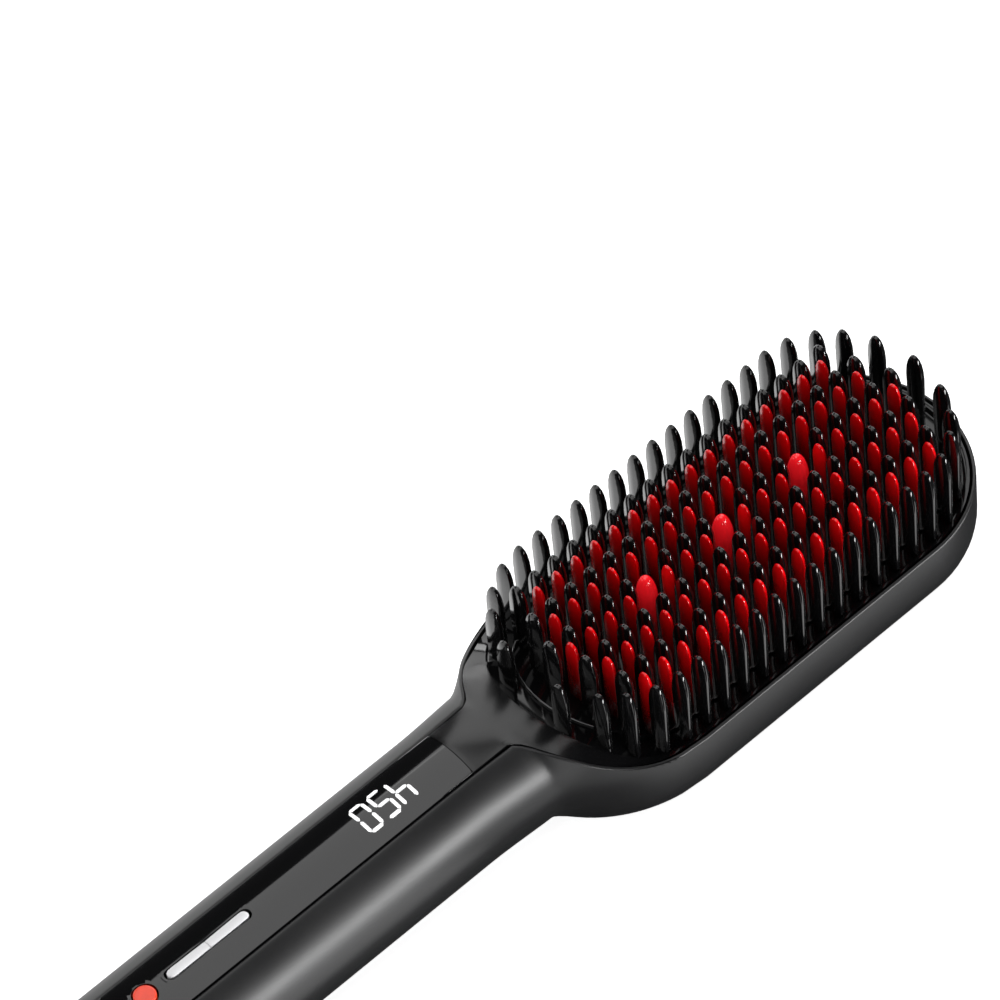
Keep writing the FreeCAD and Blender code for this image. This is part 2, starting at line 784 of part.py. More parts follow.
def control_panel():
    """The gloss strip along the top of the handle, with lugs for the rocker's pin."""
    strip = made("panel_wedge", sector(s.handle_radius, -s.panel_end + s.fit_gap, -s.panel_seam,
                                       PANEL_ANGLE - 2 * FIT_ANGLE))
    core = rod("panel_core", "handle_radius - panel_wall", "tube_end + overrun",
               "-tube_end - overrun", "0", "axis_level", "X")
    arc = cut("panel_arc", strip, core)
    lugs = [box(f"panel_lug_{name}", "-rocker_place - lug_width / 2", y,
                "panel_top - lug_drop - lug_depth", "lug_width", "lug_wall", "lug_depth")
            for name, y in (("left", "lug_gap / 2"), ("right", "-lug_gap / 2 - lug_wall"))]
    solid = join("panel_solid", arc, *lugs)
    slot = block("rocker_slot", "-rocker_place - rocker_length / 2 - free_gap",
                 "panel_top - panel_wall - overrun", "rocker_length + 2 * free_gap",
                 "rocker_width + 2 * free_gap", "panel_wall + 2 * overrun")
    hole = rod("power_hole", "power_radius + free_gap", "panel_wall + 2 * overrun",
               "-power_place", "0", "panel_top - panel_wall - overrun")
    bore = rod("lug_bore", "pin_radius", "lug_gap + 4 * lug_wall", "-rocker_place",
               "-lug_gap / 2 - 2 * lug_wall", "panel_top - pin_drop", "Y")
    return keep(cut("control_panel", solid, slot, hole, bore))


def temperature_rocker():
    """The long two-way key and the cross pin that it rocks on."""
    bar = block("rocker_bar", "-rocker_place - rocker_length / 2",
                "panel_top - rocker_foot_drop - rocker_foot_wall", "rocker_length", "rocker_width",
                "rocker_foot_drop + rocker_foot_wall + rocker_proud")
    foot = block("rocker_foot", "-rocker_place - rocker_length / 2 + fit_gap",
                 "panel_top - rocker_foot_drop - rocker_foot_wall",
                 "rocker_length - 2 * fit_gap", "rocker_foot", "rocker_foot_wall")
    hub = block("rocker_hub_form", "-rocker_place - rocker_hub / 2",
                "panel_top - pin_drop - rocker_hub_depth / 2", "rocker_hub", "rocker_foot",
                "rocker_hub_depth")
    bore = rod("rocker_bore", "pin_radius + run_gap", "rocker_foot + 2 * overrun", "-rocker_place",
               "-rocker_foot / 2 - overrun", "panel_top - pin_drop", "Y")
    keep(cut("temperature_rocker", join("rocker_solid", bar, foot, hub), bore))
    keep(rod("rocker_pin", "pin_radius", "lug_gap + 2 * lug_wall", "-rocker_place",
             "-lug_gap / 2 - lug_wall", "panel_top - pin_drop", "Y"))


def power_button():
    cap = rod("power_cap", "power_radius", "power_flange_drop + power_proud", "-power_place", "0",
              "panel_top - power_flange_drop")
    flange = rod("power_rim", "power_flange", "power_flange_wall", "-power_place", "0",
                 "panel_top - power_flange_drop - power_flange_wall")
    keep(join("power_button", cap, flange))


def key_switch(label, place, top):
    body = block(f"{label}_body", f"-({place}) - switch_width / 2", "board_face", "switch_width",
                 "switch_width", "switch_depth")
    plunger = rod(f"{label}_plunger", "plunger_radius", f"{top} - board_face - switch_depth / 2",
                  f"-({place})", "0", "board_face + switch_depth / 2")
    return join(label, body, plunger)


def electronics():
    """The board on its rails, with the display, switches, lamp, screws and ion generator."""
    board = block("board_form", "-board_start - board_length", "board_level", "board_length",
                  "board_width", "board_wall")
    level = s.board_level
    holes = made("board_holes", upright(s.small_screw + s.fit_gap, level - s.overrun,
                                        level + s.board_wall + s.overrun, board_screw_places()))
    keep(cut("main_board", board, holes))
    keep(block("display_module", "-display_place - display_length / 2", "board_face", "display_length",
               "display_width", "display_depth"))
    foot = "panel_top - rocker_foot_drop - rocker_foot_wall - rocker_travel - fit_gap"
    flange = "panel_top - power_flange_drop - power_flange_wall - power_travel - fit_gap"
    keep(group("tact_switches",
               key_switch("power_switch", "power_place", flange),
               key_switch("warmer_switch", "rocker_place - rocker_contact", foot),
               key_switch("cooler_switch", "rocker_place + rocker_contact", foot)))
    keep(block("power_lamp", "-power_place - switch_width / 2 - 2 * lamp_width", "board_face",
               "lamp_width", "lamp_width", "lamp_depth"))
    head = Part.makeCylinder(s.small_screw_head, s.small_screw_depth)
    shank = Part.makeCylinder(s.small_screw, s.small_screw_length, Vector(0, 0, -s.small_screw_length))
    lift = Vector(0, 0, level + s.board_wall)
    places = [place + lift for place in board_screw_places()]
    keep(made("board_screws", Part.makeCompound(standing(head.fuse(shank), places))))
    keep(block("ion_generator", "-ion_place - ion_length", "ion_level", "ion_length", "ion_width",
               "ion_depth"))


def wires():
    """Pairs of insulated wires from the swivel to the board and from the board to the heaters."""
    level = s.board_level
    strip = s.hot_level - s.hot_wall - s.strip_depth / 2
    block_face = -(s.panel_end - s.block_wall - s.fit_gap)
    heater, mains = [], []
    for side in (-1, 1):
        inner = side * s.strip_pitch / 4
        outer = side * s.strip_pitch / 2
        start = -s.board_start - s.board_hole_inset
        end = -s.strip_length / 2
        heater.append([
            Vector(start, inner, level),
            Vector(start, inner, level - s.wire_drop),
            Vector(s.wire_inset - s.panel_seam, (inner + outer) / 2, s.axis_level - s.wire_sag),
            Vector(2 * end, outer, strip),
            Vector(end, outer, strip),
        ])
        terminal = side * (s.carrier_bore + s.block_width / 2) / 2
        mains.append([
            Vector(block_face, terminal, s.axis_level),
            Vector(block_face + s.wire_run, terminal, s.axis_level),
            Vector(block_face + 2 * s.wire_run, inner, level - s.wire_drop),
            Vector(block_face + 2 * s.wire_run, inner, level),
        ])
    for label, routes, radius in (("heater_leads", heater, s.heater_wire),
                                  ("mains_leads", mains, s.mains_wire)):
        keep(made(label, Part.makeCompound([tube(bent_path(route)[0], radius) for route in routes])))


def end_cap():
    """The cap that closes the handle, with a spigot inside the tube and a bore for the swivel."""
    near, far = -s.handle_reach, -(s.handle_reach - s.cap_depth)
    disc = Part.makeCylinder(s.handle_radius, s.cap_depth, Vector(near, 0, s.axis_level),
                             Vector(1, 0, 0))
    rim = [edge for edge in disc.Edges if edge.BoundBox.XMax - near < s.run_gap]
    disc = disc.makeFillet(s.cap_round, rim)
    outer = s.bore_radius - s.fit_gap
    spigot = Part.makeCylinder(outer, s.spigot_depth, Vector(far, 0, s.axis_level), Vector(1, 0, 0))
    room = Part.makeCylinder(outer - s.spigot_wall, s.spigot_depth, Vector(far, 0, s.axis_level),
                             Vector(1, 0, 0))
    bore = Part.makeCylinder(s.journal_radius + s.run_gap, s.cap_depth + 2 * s.overrun,
                             Vector(near - s.overrun, 0, s.axis_level), Vector(1, 0, 0))
    return keep(made("end_cap", disc.fuse(spigot.cut(room)).cut(bore).removeSplitter()))


def swivel():
    """The cord's swivel: a collar in the cap's bore, its clip, slip rings and strain relief."""
    outside = -s.handle_reach - s.collar_gap
    inside = -(s.handle_reach - s.cap_depth)
    journal_end = outside + s.journal_length
    clip_near = inside + s.free_gap
    clip_far = clip_near + s.clip_wall
    groove = s.journal_radius - s.clip_groove
    keep(made("swivel_collar", turned_on_handle([
        (outside - s.collar_wall, s.collar_radius), (outside, s.collar_radius),
        (outside, s.journal_radius), (clip_near, s.journal_radius),
        (clip_near, groove), (clip_far, groove),
        (clip_far, s.journal_radius), (journal_end, s.journal_radius)])))
    along = Vector(1, 0, 0)

    def hoop(near, width, inner, outer):
        centre = Vector(near, 0, s.axis_level)
        return Part.makeCylinder(outer, width, centre, along).cut(
            Part.makeCylinder(inner, width, centre, along))

    keep(made("swivel_clip", hoop(clip_near, s.clip_wall, groove, s.clip_radius)))
    last = journal_end - s.slip_ring_width - s.free_gap
    keep(made("slip_rings", Part.makeCompound(
        [hoop(last - number * s.slip_ring_pitch, s.slip_ring_width, s.journal_radius,
              s.journal_radius + s.slip_ring_wall) for number in range(2)])))
    keep(strain_relief(outside - s.collar_wall))
    carrier = block("carrier_form", "-panel_end + fit_gap", "axis_level - block_width / 2", "block_wall",
                    "block_width", "block_width")
    bore = rod("carrier_hole", "carrier_bore", "block_wall + 2 * overrun", "-panel_end - overrun", "0",
               "axis_level", "X")
    keep(cut("contact_block", carrier, bore))


def strain_relief(root):
    """The tapered rubber relief: plain at its root, then ribs parted by grooves."""
    stations = [(root, s.relief_root), (root - s.relief_plain, s.relief_waist)]
    rib = (s.relief_length - s.relief_plain) / RELIEF_RIBS
    fall = (s.relief_waist - s.relief_end) / RELIEF_RIBS
    for number in range(RELIEF_RIBS):
        start = root - s.relief_plain - number * rib
        radius = s.relief_waist - number * fall
        low = radius - s.relief_groove
        stations += [(start, low), (start - s.relief_slot, low), (start - s.relief_slot, radius),
                     (start - rib, radius - fall)]
    return made("strain_relief", turned_on_handle(stations))


def coil_point(turn):
    """A point of the coil's centre line after an angle of winding, in radians."""
    layer = math.radians(COIL_TURN) / COIL_LAYERS
    step = (2 * s.cord_radius + s.coil_gap) / (2 * math.pi)
    wound = turn % (2 * layer)
    inward = min(wound, 2 * layer - wound)
    radius = s.coil_radius - step * inward
    climb = math.pi * 2 * HALF_TURN_SHARE
    level = 0.0
    for number in range(1, COIL_LAYERS):
        rise = (turn - number * layer) / climb + 1 / 2
        rise = min(max(rise, 0.0), 1.0)
        level += rise * rise * (3 - 2 * rise)
    angle = math.radians(COIL_START_ANGLE) + turn
    centre = coil_centre()
    return Vector(centre.x + radius * math.cos(angle), centre.y + radius * math.sin(angle),
                  centre.z + level * (2 * s.cord_radius + s.coil_gap))


def cord_exit():
    return -s.handle_reach - s.collar_gap - s.collar_wall - s.relief_length


def coil_centre():
    return Vector(cord_exit() - s.coil_stand, 0, s.tie_wall + s.free_gap + s.cord_radius)


def coil_heading(turn):
    """Direction of the centre line, level at the two ends."""
    whole = math.radians(COIL_TURN)
    little = math.radians(1 / 100)
    low, high = max(turn - little, 0.0), min(turn + little, whole)
    return (coil_point(high) - coil_point(low)).normalize()


def biarc(start, leaving, end, arriving):
    """Two arcs that share a tangent and join two points along their headings."""
    chord = end - start
    both = leaving + arriving
    spare = 2 * (1 - leaving.dot(arriving))
    across = chord.dot(both)
    reach = (-across + math.sqrt(across ** 2 + spare * chord.dot(chord))) / spare
    middle = (start + leaving * reach + end - arriving * reach) * (1 / 2)

    def crest(first, heading, last):
        """Middle of the arc that leaves a point along a heading."""
        span = last - first
        unit = Vector(span).normalize()
        side = (heading - unit * heading.dot(unit)).normalize()
        bulge = span.Length / 2 * math.tan(heading.getAngle(unit) / 2)
        return first + span * (1 / 2) + side * bulge

    return [Part.Arc(start, crest(start, leaving, middle), middle).toShape(),
            Part.Arc(middle, crest(end, arriving * -1, middle), end).toShape()]


def coil_path():
    whole = math.radians(COIL_TURN)
    quarters = round(whole / (math.pi / 2))
    turns = [whole * number / quarters for number in range(quarters + 1)]
    points = [coil_point(turn) for turn in turns]
    headings = [coil_heading(turn) for turn in turns]
    stub = 2 * s.cord_radius
    edges = [Part.LineSegment(points[0] - headings[0] * stub, points[0]).toShape()]
    for number in range(quarters):
        edges += biarc(points[number], headings[number], points[number + 1], headings[number + 1])
    edges.append(Part.LineSegment(points[-1], points[-1] + headings[-1] * stub).toShape())
    return Part.Wire(edges)


def least_gap(path):
    """Least clear distance between passes of the coil, measured on points half a cord apart."""
    spots = path.discretize(Distance=s.cord_radius)
    least = min((first - second).Length for number, first in enumerate(spots)
                for second in spots[number + NEXT_PASS_SPOTS:])
    return least - 2 * s.cord_radius


def cord():
    """The cord from the relief to the coil, the coil, and the tail to the plug."""
    coil = coil_path()
    print(f"coil least gap {least_gap(coil):.2f}")
    first, last = coil.Edges[0], coil.Edges[-1]
    begin, inbound = first.valueAt(first.FirstParameter), first.tangentAt(first.FirstParameter)
    end, outbound = last.valueAt(last.LastParameter), last.tangentAt(last.LastParameter)
    exit_point = Vector(cord_exit(), 0, s.axis_level)
    lead = [exit_point, exit_point - Vector(s.lead_run, 0, 0), begin - inbound * s.lead_turn, begin]
    tail = [end, end + outbound * s.tail_run,
            Vector(end.x + s.tail_fall, end.y, s.plug_depth / 2),
            Vector(end.x + s.tail_length, end.y, s.plug_depth / 2)]
    total = coil.Length
    for label, points in (("cord_lead", lead), ("cord_tail", tail)):
        path, radii = bent_path(points)
        print(label, "points", [tuple(round(value, 2) for value in point) for point in points])
        print(label, "radii", [round(radius, 1) for radius in radii])
        keep(made(label, tube(path, s.cord_radius)))
        total += path.Length
    keep(made("cord_coil", tube(coil, s.cord_radius)))
    print(f"cord length {total:.0f}")
    cord_tie()
    plug(tail[-1])


def cord_tie():
    """A strap round the coil on the side away from the brush."""
    centre = coil_centre()
    layer_turns = COIL_TURN / 360.0 / COIL_LAYERS
    step = 2 * s.cord_radius + s.coil_gap
    inner = s.coil_radius - step * layer_turns - s.cord_radius - 2 * s.free_gap
    inner -= (s.tie_width / 2) ** 2 / (2 * inner)
    outer = s.coil_radius + s.cord_radius + s.free_gap
    tall = step * (COIL_LAYERS - 1) + 2 * s.cord_radius + 2 * s.free_gap
    corner = Vector(centre.x - outer, -s.tie_width / 2, s.tie_wall)
    room = Part.makeBox(outer - inner, s.tie_width, tall, corner)
    skin = Vector(s.tie_wall, 0, s.tie_wall)
    band = Part.makeBox(outer - inner + 2 * s.tie_wall, s.tie_width, tall + 2 * s.tie_wall,
                        corner - skin)
    keep(made("cord_tie", band.cut(room)))


def plug(entry):
    """A two-blade plug lying on its side, with a short tapered tail."""
    level = entry.z
    along = Vector(1, 0, 0)
    tail = Part.makeCone(s.plug_tail_end, s.plug_tail_root, s.plug_tail, entry, along)
    corner = Vector(entry.x + s.plug_tail, entry.y - s.plug_width / 2, level - s.plug_depth / 2)
    body = Part.makeBox(s.plug_length, s.plug_width, s.plug_depth, corner)
    body = body.makeFillet(s.plug_round, [edge for edge in body.Edges
                                          if edge.BoundBox.XLength > s.plug_length / 2])
    keep(made("plug_body", body.fuse(tail).removeSplitter()))
    face = entry.x + s.plug_tail + s.plug_length
    blades = []
    for side in (-1, 1):
        start = Vector(face, entry.y + side * s.blade_pitch / 2 - s.blade_wall / 2,
                       level - s.blade_width / 2)
        blades.append(Part.makeBox(s.blade_length, s.blade_wall, s.blade_width, start))
    keep(made("plug_blades", Part.makeCompound(blades)))


def build():
    form = envelope_pieces()
    back_housing(form)
    ring_trim()
    front_frame(form)
    guard_plate()
    guard_teeth()
    rim_teeth()
    heating_plate()
    heating_teeth()
    ion_outlets()
    heater_stack()
    case_screws()
    control_panel()
    temperature_rocker()
    power_button()
    electronics()
    wires()
    end_cap()
    swivel()
    cord()


def check():
    """Stop on any failed object or shape before a file is written."""
    for item in doc.Objects:
        if {"Invalid", "Error"} & set(item.State):
            raise RuntimeError(f"{item.Label} failed: {item.State}")
    for label, item in nodes.items():
        if item.Shape.isNull() or not item.Shape.isValid():
            raise RuntimeError(f"{label} has no valid shape")


def write():
    os.makedirs("parts", exist_ok=True)
    for label, item in nodes.items():
        item.Shape.exportStep(f"parts/{label}.step")
        bounds = item.Shape.BoundBox
        print(f"{label}: {len(item.Shape.Solids)} solids, volume {item.Shape.Volume:.1f}, "
              f"x {bounds.XMin:.1f} to {bounds.XMax:.1f}, y {bounds.YMin:.1f} to {bounds.YMax:.1f}, "
              f"z {bounds.ZMin:.1f} to {bounds.ZMax:.1f}")


build()
doc.recompute()
check()
write()
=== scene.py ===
"""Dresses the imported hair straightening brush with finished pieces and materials."""

import math
from itertools import chain

import bmesh
import bpy
from mathutils import Matrix, Vector


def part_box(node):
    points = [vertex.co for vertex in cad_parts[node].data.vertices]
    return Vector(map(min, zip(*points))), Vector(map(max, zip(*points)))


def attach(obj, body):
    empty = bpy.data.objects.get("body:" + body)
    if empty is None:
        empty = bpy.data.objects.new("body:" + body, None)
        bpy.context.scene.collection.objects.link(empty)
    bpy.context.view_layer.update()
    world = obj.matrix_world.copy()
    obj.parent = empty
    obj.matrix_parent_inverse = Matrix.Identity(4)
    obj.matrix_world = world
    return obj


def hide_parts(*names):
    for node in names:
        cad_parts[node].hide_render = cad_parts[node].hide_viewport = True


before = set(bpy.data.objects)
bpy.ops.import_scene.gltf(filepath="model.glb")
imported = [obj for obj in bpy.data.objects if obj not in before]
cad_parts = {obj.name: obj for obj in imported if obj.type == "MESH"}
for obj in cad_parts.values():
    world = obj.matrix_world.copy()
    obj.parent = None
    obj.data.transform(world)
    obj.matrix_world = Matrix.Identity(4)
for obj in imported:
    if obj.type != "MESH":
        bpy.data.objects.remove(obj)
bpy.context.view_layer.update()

bl_info = {
    "name": "Hair straightening brush",
    "version": (1, 0, 0),
    "blender": (4, 5, 0),
    "location": "View3D > Sidebar > Brush",
    "description": "Dresses a packed hair straightening brush for a studio picture",
    "category": "Add Mesh",
}

MM = 0.001
UP = Vector((0, 0, 1))
ALONG = Vector((1, 0, 0))

# Forms of the head, the handle and the neck, in millimetres.
HEAD_HALF, HEAD_RADIUS, BACK_ROUND, RIM_LEVEL = 38.5, 32.5, 8.0, 20.2
AXIS_LEVEL, HANDLE_RADIUS, TUBE_END = 18.0, 17.8, -203.0
PANEL_SEAM, PANEL_END, PANEL_TURN = -90.0, -199.85, 25.6
SLOT_LEVEL, CREST_LEVEL, RIM_START = 33.86, 35.95, -46.0
PLATE_LEVEL, GUARD_LEVEL, GUARD_HALF, RECESS_RADIUS = 18.0, 19.0, 37.0, 29.7
RING_HALF, ROCKER_PLACE, POWER_PLACE, RELIEF_END = 40.0, -166.5, -186.0, -259.1

# The softer sweep of the neck and of the plates under the teeth.
NECK_FALL, NECK_STRETCH = 0.22, 4.5
NECK_RISE, RISE_START, RISE_RUN = 8.5, -41.0, 23.0

# How far the gloss frame lies below the rim, and half the gap between frame and panel.
SEAM_DROP, SEAM_GAP = 0.35, 0.12

# The tooth lattice.
TOOTH_PITCH, ROW_PITCH = 6.3, 9.0
ROW_REACH = {-2: 8, -1: 8.5, 0: 9, 1: 8.5, 2: 8}
OUTLET_COLUMNS, OUTLET_TOP = (-4, 0, 4), 42.6
RIM_TEETH, RIM_SIDE, RIM_END, END_REACH = 14, 27.0, 40.95, 23.5
TIP_TURNS = (0, 24, 42, 57, 74)
NECK_TURNS = (20, 42, 57, 74)

# The cord's route and the plug's axis.
PLUG_SIDE, PLUG_LEVEL = -40.16, 9.0
LEAD = ((RELIEF_END, 0, 18), (-289.1, 0, 18), (-312.7, 3.51, 4.2), (-334.46, 24.15, 4.2))
TAIL = ((-361.1, PLUG_SIDE, 24), (-333.11, -40.9, 24), (-299.1, PLUG_SIDE, PLUG_LEVEL),
        (-271.1, PLUG_SIDE, PLUG_LEVEL))
COIL_CENTRE, COIL_RADIUS, COIL_PITCH = Vector((-367.1, 0, 4.2)), 40.0, 6.6
COIL_START, COIL_TURN, COIL_LAYERS, COIL_STEPS = 45.0, 2745.0, 4, 14

# The camera in millimetres, fitted to the photograph, with its right, up and back axes.
CAMERA_PLACE = Vector((-755.116, -859.714, 1494.273))
CAMERA_AXES = ((0.72314878, -0.68739569, -0.06740182), (0.57089239, 0.5399391, 0.61850437),
               (-0.38876436, -0.48574986, 0.78288527))

# Lights as (name, place, aim, size) and lit paper as (name, share, low, high), in metres.
LIGHTS = (("overhead", (-0.24, 0.28, 1.2), (-0.24, 0.28, 0), (1.52, 1.57)),
          ("side", (0.5, -1.2, 0.1), (-0.05, 0, 0.02), (1.6, 0.22)),
          ("back", (0.9, 0.48, 0.66), (-0.08, 0, 0.03), (1.3, 0.95)),
          ("left", (-1.0, 0.55, 0.3), (0, 0, 0.03), (0.9, 0.6)),
          ("far", (0, 1.5, 0.12), (0, 0, 0.03), (3.0, 0.24)))
CARDS = (("far_paper", 1.0, (-0.7, 0.036), (0.5, 0.45)),
         ("near_paper", 1.6, (-0.32, -0.2), (-0.085, -0.036)),
         ("edge_paper", 1.3, (-0.08, -0.06), (0.08, -0.042)))


class BrushSizes(bpy.types.PropertyGroup):
    """Sizes of the pieces that a user may want to change"""
    tooth_thick: bpy.props.FloatProperty(
        name="Tooth thickness", description="Half thickness of a guard tooth along the brush",
        unit="LENGTH", default=1.0 * MM, precision=5)
    tooth_broad: bpy.props.FloatProperty(
        name="Tooth width", description="Half width of a guard tooth across the brush",
        unit="LENGTH", default=3.1 * MM, precision=5)
    heat_thick: bpy.props.FloatProperty(
        name="Heated tooth thickness", unit="LENGTH", default=0.65 * MM, precision=5,
        description="Half thickness of a heated tooth along the brush")
    heat_broad: bpy.props.FloatProperty(
        name="Heated tooth width", description="Half width of a heated tooth across the brush",
        unit="LENGTH", default=2.25 * MM, precision=5)
    outlet_radius: bpy.props.FloatProperty(
        name="Outlet radius", description="Widest radius of an ion outlet", unit="LENGTH",
        default=2.75 * MM, precision=5)
    rim_lip: bpy.props.FloatProperty(
        name="Rim lip", description="Width of the shell's edge round the gloss frame",
        unit="LENGTH", default=0.9 * MM, precision=5)
    cord_radius: bpy.props.FloatProperty(
        name="Cord radius", description="Radius of the mains cord", unit="LENGTH",
        default=3 * MM, precision=5)


class BrushColours(bpy.types.PropertyGroup):
    """Colours of the finishes"""
    shell: bpy.props.FloatVectorProperty(
        name="Shell", description="Soft matte black of the shell and the handle",
        subtype="COLOR", default=(0.007, 0.007, 0.0074))
    gloss: bpy.props.FloatVectorProperty(
        name="Gloss", description="Gloss black of the frame, the panel and the teeth",
        subtype="COLOR", default=(0.0035, 0.0035, 0.0038))
    heat: bpy.props.FloatVectorProperty(
        name="Heated teeth", description="Red of the heated teeth's tips",
        subtype="COLOR", default=(0.95, 0.002, 0.005))
    # The outlets' colour also drives their emission, which is a painted glow.
    outlet: bpy.props.FloatVectorProperty(
        name="Ion outlets", description="Bright red of the ion outlets",
        subtype="COLOR", default=(1.0, 0.012, 0.02))
    ring: bpy.props.FloatVectorProperty(
        name="Ring", description="Pink red of the ring on the back",
        subtype="COLOR", default=(0.85, 0.002, 0.045))
    key: bpy.props.FloatVectorProperty(
        name="Rocker", description="White of the temperature rocker",
        subtype="COLOR", default=(0.82, 0.82, 0.83))
    lamp: bpy.props.FloatVectorProperty(
        name="Power button", description="Glowing orange red of the power button",
        subtype="COLOR", default=(0.8, 0.045, 0.012))


class BrushStage(bpy.types.PropertyGroup):
    """Camera and light"""
    lens: bpy.props.FloatProperty(
        name="Lens", description="Focal length on a 36 mm sensor", unit="CAMERA", default=280.77)
    overhead: bpy.props.FloatProperty(
        name="Overhead light", description="Brightness of the large overhead light", default=1.6)
    side: bpy.props.FloatProperty(
        name="Side light", description="Brightness of the low strip on the near side", default=26.0)
    back: bpy.props.FloatProperty(
        name="Back light", description="Brightness of the light behind the tip", default=1.8)
    left: bpy.props.FloatProperty(
        name="Left light", description="Brightness of the light behind the handle", default=2.0)
    far: bpy.props.FloatProperty(
        name="Far light", description="Brightness of the low strip on the far side", default=3.0)
    paper: bpy.props.FloatProperty(
        name="Paper", description="Brightness of the lit paper beside the brush", default=1.0)


# Shader expressions and finishes


def plug_in(tree, socket, value):
    """Link a wire to a socket, or set the socket's own value."""
    if isinstance(value, Wire):
        tree.links.new(value.socket, socket)
    elif isinstance(value, (tuple, list)) and len(value) == 3 and len(socket.default_value) == 4:
        socket.default_value = (*value, 1.0)
    else:
        socket.default_value = value


class Wire:
    """A node's output in an expression: arithmetic on it adds Math nodes."""

    def __init__(self, tree, socket):
        self.tree, self.socket = tree, socket

    def _math(self, operation, *values):
        node = self.tree.nodes.new("ShaderNodeMath")
        node.operation = operation
        for socket, value in zip(node.inputs, values):
            plug_in(self.tree, socket, value)
        return Wire(self.tree, node.outputs[0])

    def __add__(self, other):
        return self._math("ADD", self, other)

    def __radd__(self, other):
        return self._math("ADD", other, self)

    def __sub__(self, other):
        return self._math("SUBTRACT", self, other)

    def __rsub__(self, other):
        return self._math("SUBTRACT", other, self)

    def __mul__(self, other):
        return self._math("MULTIPLY", self, other)

    def __rmul__(self, other):
        return self._math("MULTIPLY", other, self)

    def __truediv__(self, other):
        return self._math("DIVIDE", self, other)

    def __rtruediv__(self, other):
        return self._math("DIVIDE", other, self)


class Finish:
    """A procedural material round one Principled shader."""

    def __init__(self, name, **constants):
        self.material = bpy.data.materials.new(name)
        self.material.use_nodes = True
        self.tree = self.material.node_tree
        self.shader = self.tree.nodes["Principled BSDF"]
        for key, value in constants.items():
            self.feed(key.replace("_", " "), value)

    def feed(self, socket, value):
        plug_in(self.tree, self.shader.inputs[socket], value)

    def node(self, kind, settings=(), sockets=(), out=0):
        """Add a node: its settings first, then its sockets' values or links."""
        node = self.tree.nodes.new(kind)
        for key, value in dict(settings).items():
            if key == "stops":
                ramp = node.color_ramp
                while len(ramp.elements) < len(value):
                    ramp.elements.new(1.0)
                for element, (place, colour) in zip(ramp.elements, value):
                    element.position, element.color = place, (*colour, 1.0)
            else:
                setattr(node, key, value)
        for key, value in dict(sockets).items():
            plug_in(self.tree, node.inputs[key], value)
        return Wire(self.tree, node.outputs[out])

    def place(self):
        return self.node("ShaderNodeTexCoord", out="Object")

    def noise(self, place, scale, detail=2.0):
        return self.node("ShaderNodeTexNoise", sockets={
            "Vector": place, "Scale": scale, "Detail": detail, "Roughness": 0.55})

    def stretched(self, place, scale):
        """Coordinates scaled by axis, for grain that runs one way."""
        return self.node("ShaderNodeMapping", sockets={"Vector": place, "Scale": scale})

    def blend(self, share, first, second):
        return self.node("ShaderNodeMix", {"data_type": "RGBA"},
                         {0: share, 6: first, 7: second}, 2)

    def height(self, place):
        return self.node("ShaderNodeSeparateXYZ", sockets={"Vector": place}, out="Z")

    def relief(self, strength, distance, height):
        self.feed("Normal", self.node("ShaderNodeBump", sockets={
            "Strength": strength, "Distance": distance, "Height": height}))


def tone(colour, share):
    return tuple(min(1.0, value * share) for value in colour)


def moulded(name, colour, rough, spread=0.12, grain=2600.0, depth=0.02, strength=0.25, **constants):
    """Moulded plastic or rubber: drifting tone, uneven gloss and a fine grain."""
    finish = Finish(name, **constants)
    place = finish.place()
    drift = finish.noise(place, 42.0, 4.0)
    fine = finish.noise(place, grain)
    ends = tone(colour, 1 - spread), tone(colour, 1 + spread)
    finish.feed("Base Color", finish.blend(drift, *ends))
    finish.feed("Roughness", rough + (drift - 0.5) * rough * 0.3 + (fine - 0.5) * rough * 0.25)
    finish.relief(strength, depth * MM, fine)
    return finish


def black_gloss(name, rough):
    """Polished black plastic of the frame and the panel."""
    return moulded(name, colours().gloss, rough, grain=700.0, depth=0.002, strength=0.1,
                   Coat_Weight=0.3, Coat_Roughness=0.03)


def lit(name, base, glow, scale, detail=2.0, **constants):
    """A surface that glows, with a cloud between two base tones and two glowing ones."""
    finish = Finish(name, **constants)
    cloud = finish.noise(finish.place(), scale, detail)
    finish.feed("Base Color", finish.blend(cloud, *base))
    finish.feed("Emission Color", finish.blend(cloud, *glow))
    return finish


def metal(name, colour, rough, scale=(40.0, 900.0, 900.0)):
    """Drawn metal with brush marks along one axis and dull patches."""
    finish = Finish(name, Metallic=1.0)
    place = finish.place()
    marks = finish.noise(finish.stretched(place, scale), 1.0, 3.0)
    dull = finish.noise(place, 120.0, 3.0)
    finish.feed("Base Color", finish.blend(dull, tone(colour, 0.82), tone(colour, 1.06)))
    finish.feed("Roughness", rough + (marks - 0.5) * 0.16 + (dull - 0.5) * 0.12)
    finish.relief(0.15, 0.02 * MM, marks)
    return finish


def tooth_gloss(name, tip, painted_shade_root, top, bottom, rough, **constants):
    """Gloss plastic whose colour runs from near black at the foot up to the tip: painted shade down
    among the crowded teeth.
    """
    finish = Finish(name, **constants)
    place = finish.place()
    level = (finish.height(place) - bottom * MM) / ((top - bottom) * MM)
    cloud = finish.noise(place, 260.0, 3.0)
    # The ramp darkens the colour towards the foot as painted shade where the teeth crowd together.
    share = finish.node("ShaderNodeValToRGB", {"stops": (
        (0.0, painted_shade_root), (0.3, tone(tip, 0.14)), (0.6, tone(tip, 0.5)), (0.85, tip))},
        {"Fac": level + (cloud - 0.5) * 0.16})
    finish.feed("Base Color", share)
    # Emission follows the same ramp, so where a strength is set it paints a glow that is strongest
    # at the tip.
    finish.feed("Emission Color", share)
    finish.feed("Roughness", rough + (cloud - 0.5) * rough * 0.5)
    finish.relief(0.06, 0.02 * MM, finish.noise(place, 1500.0))
    return finish


# Mesh tools


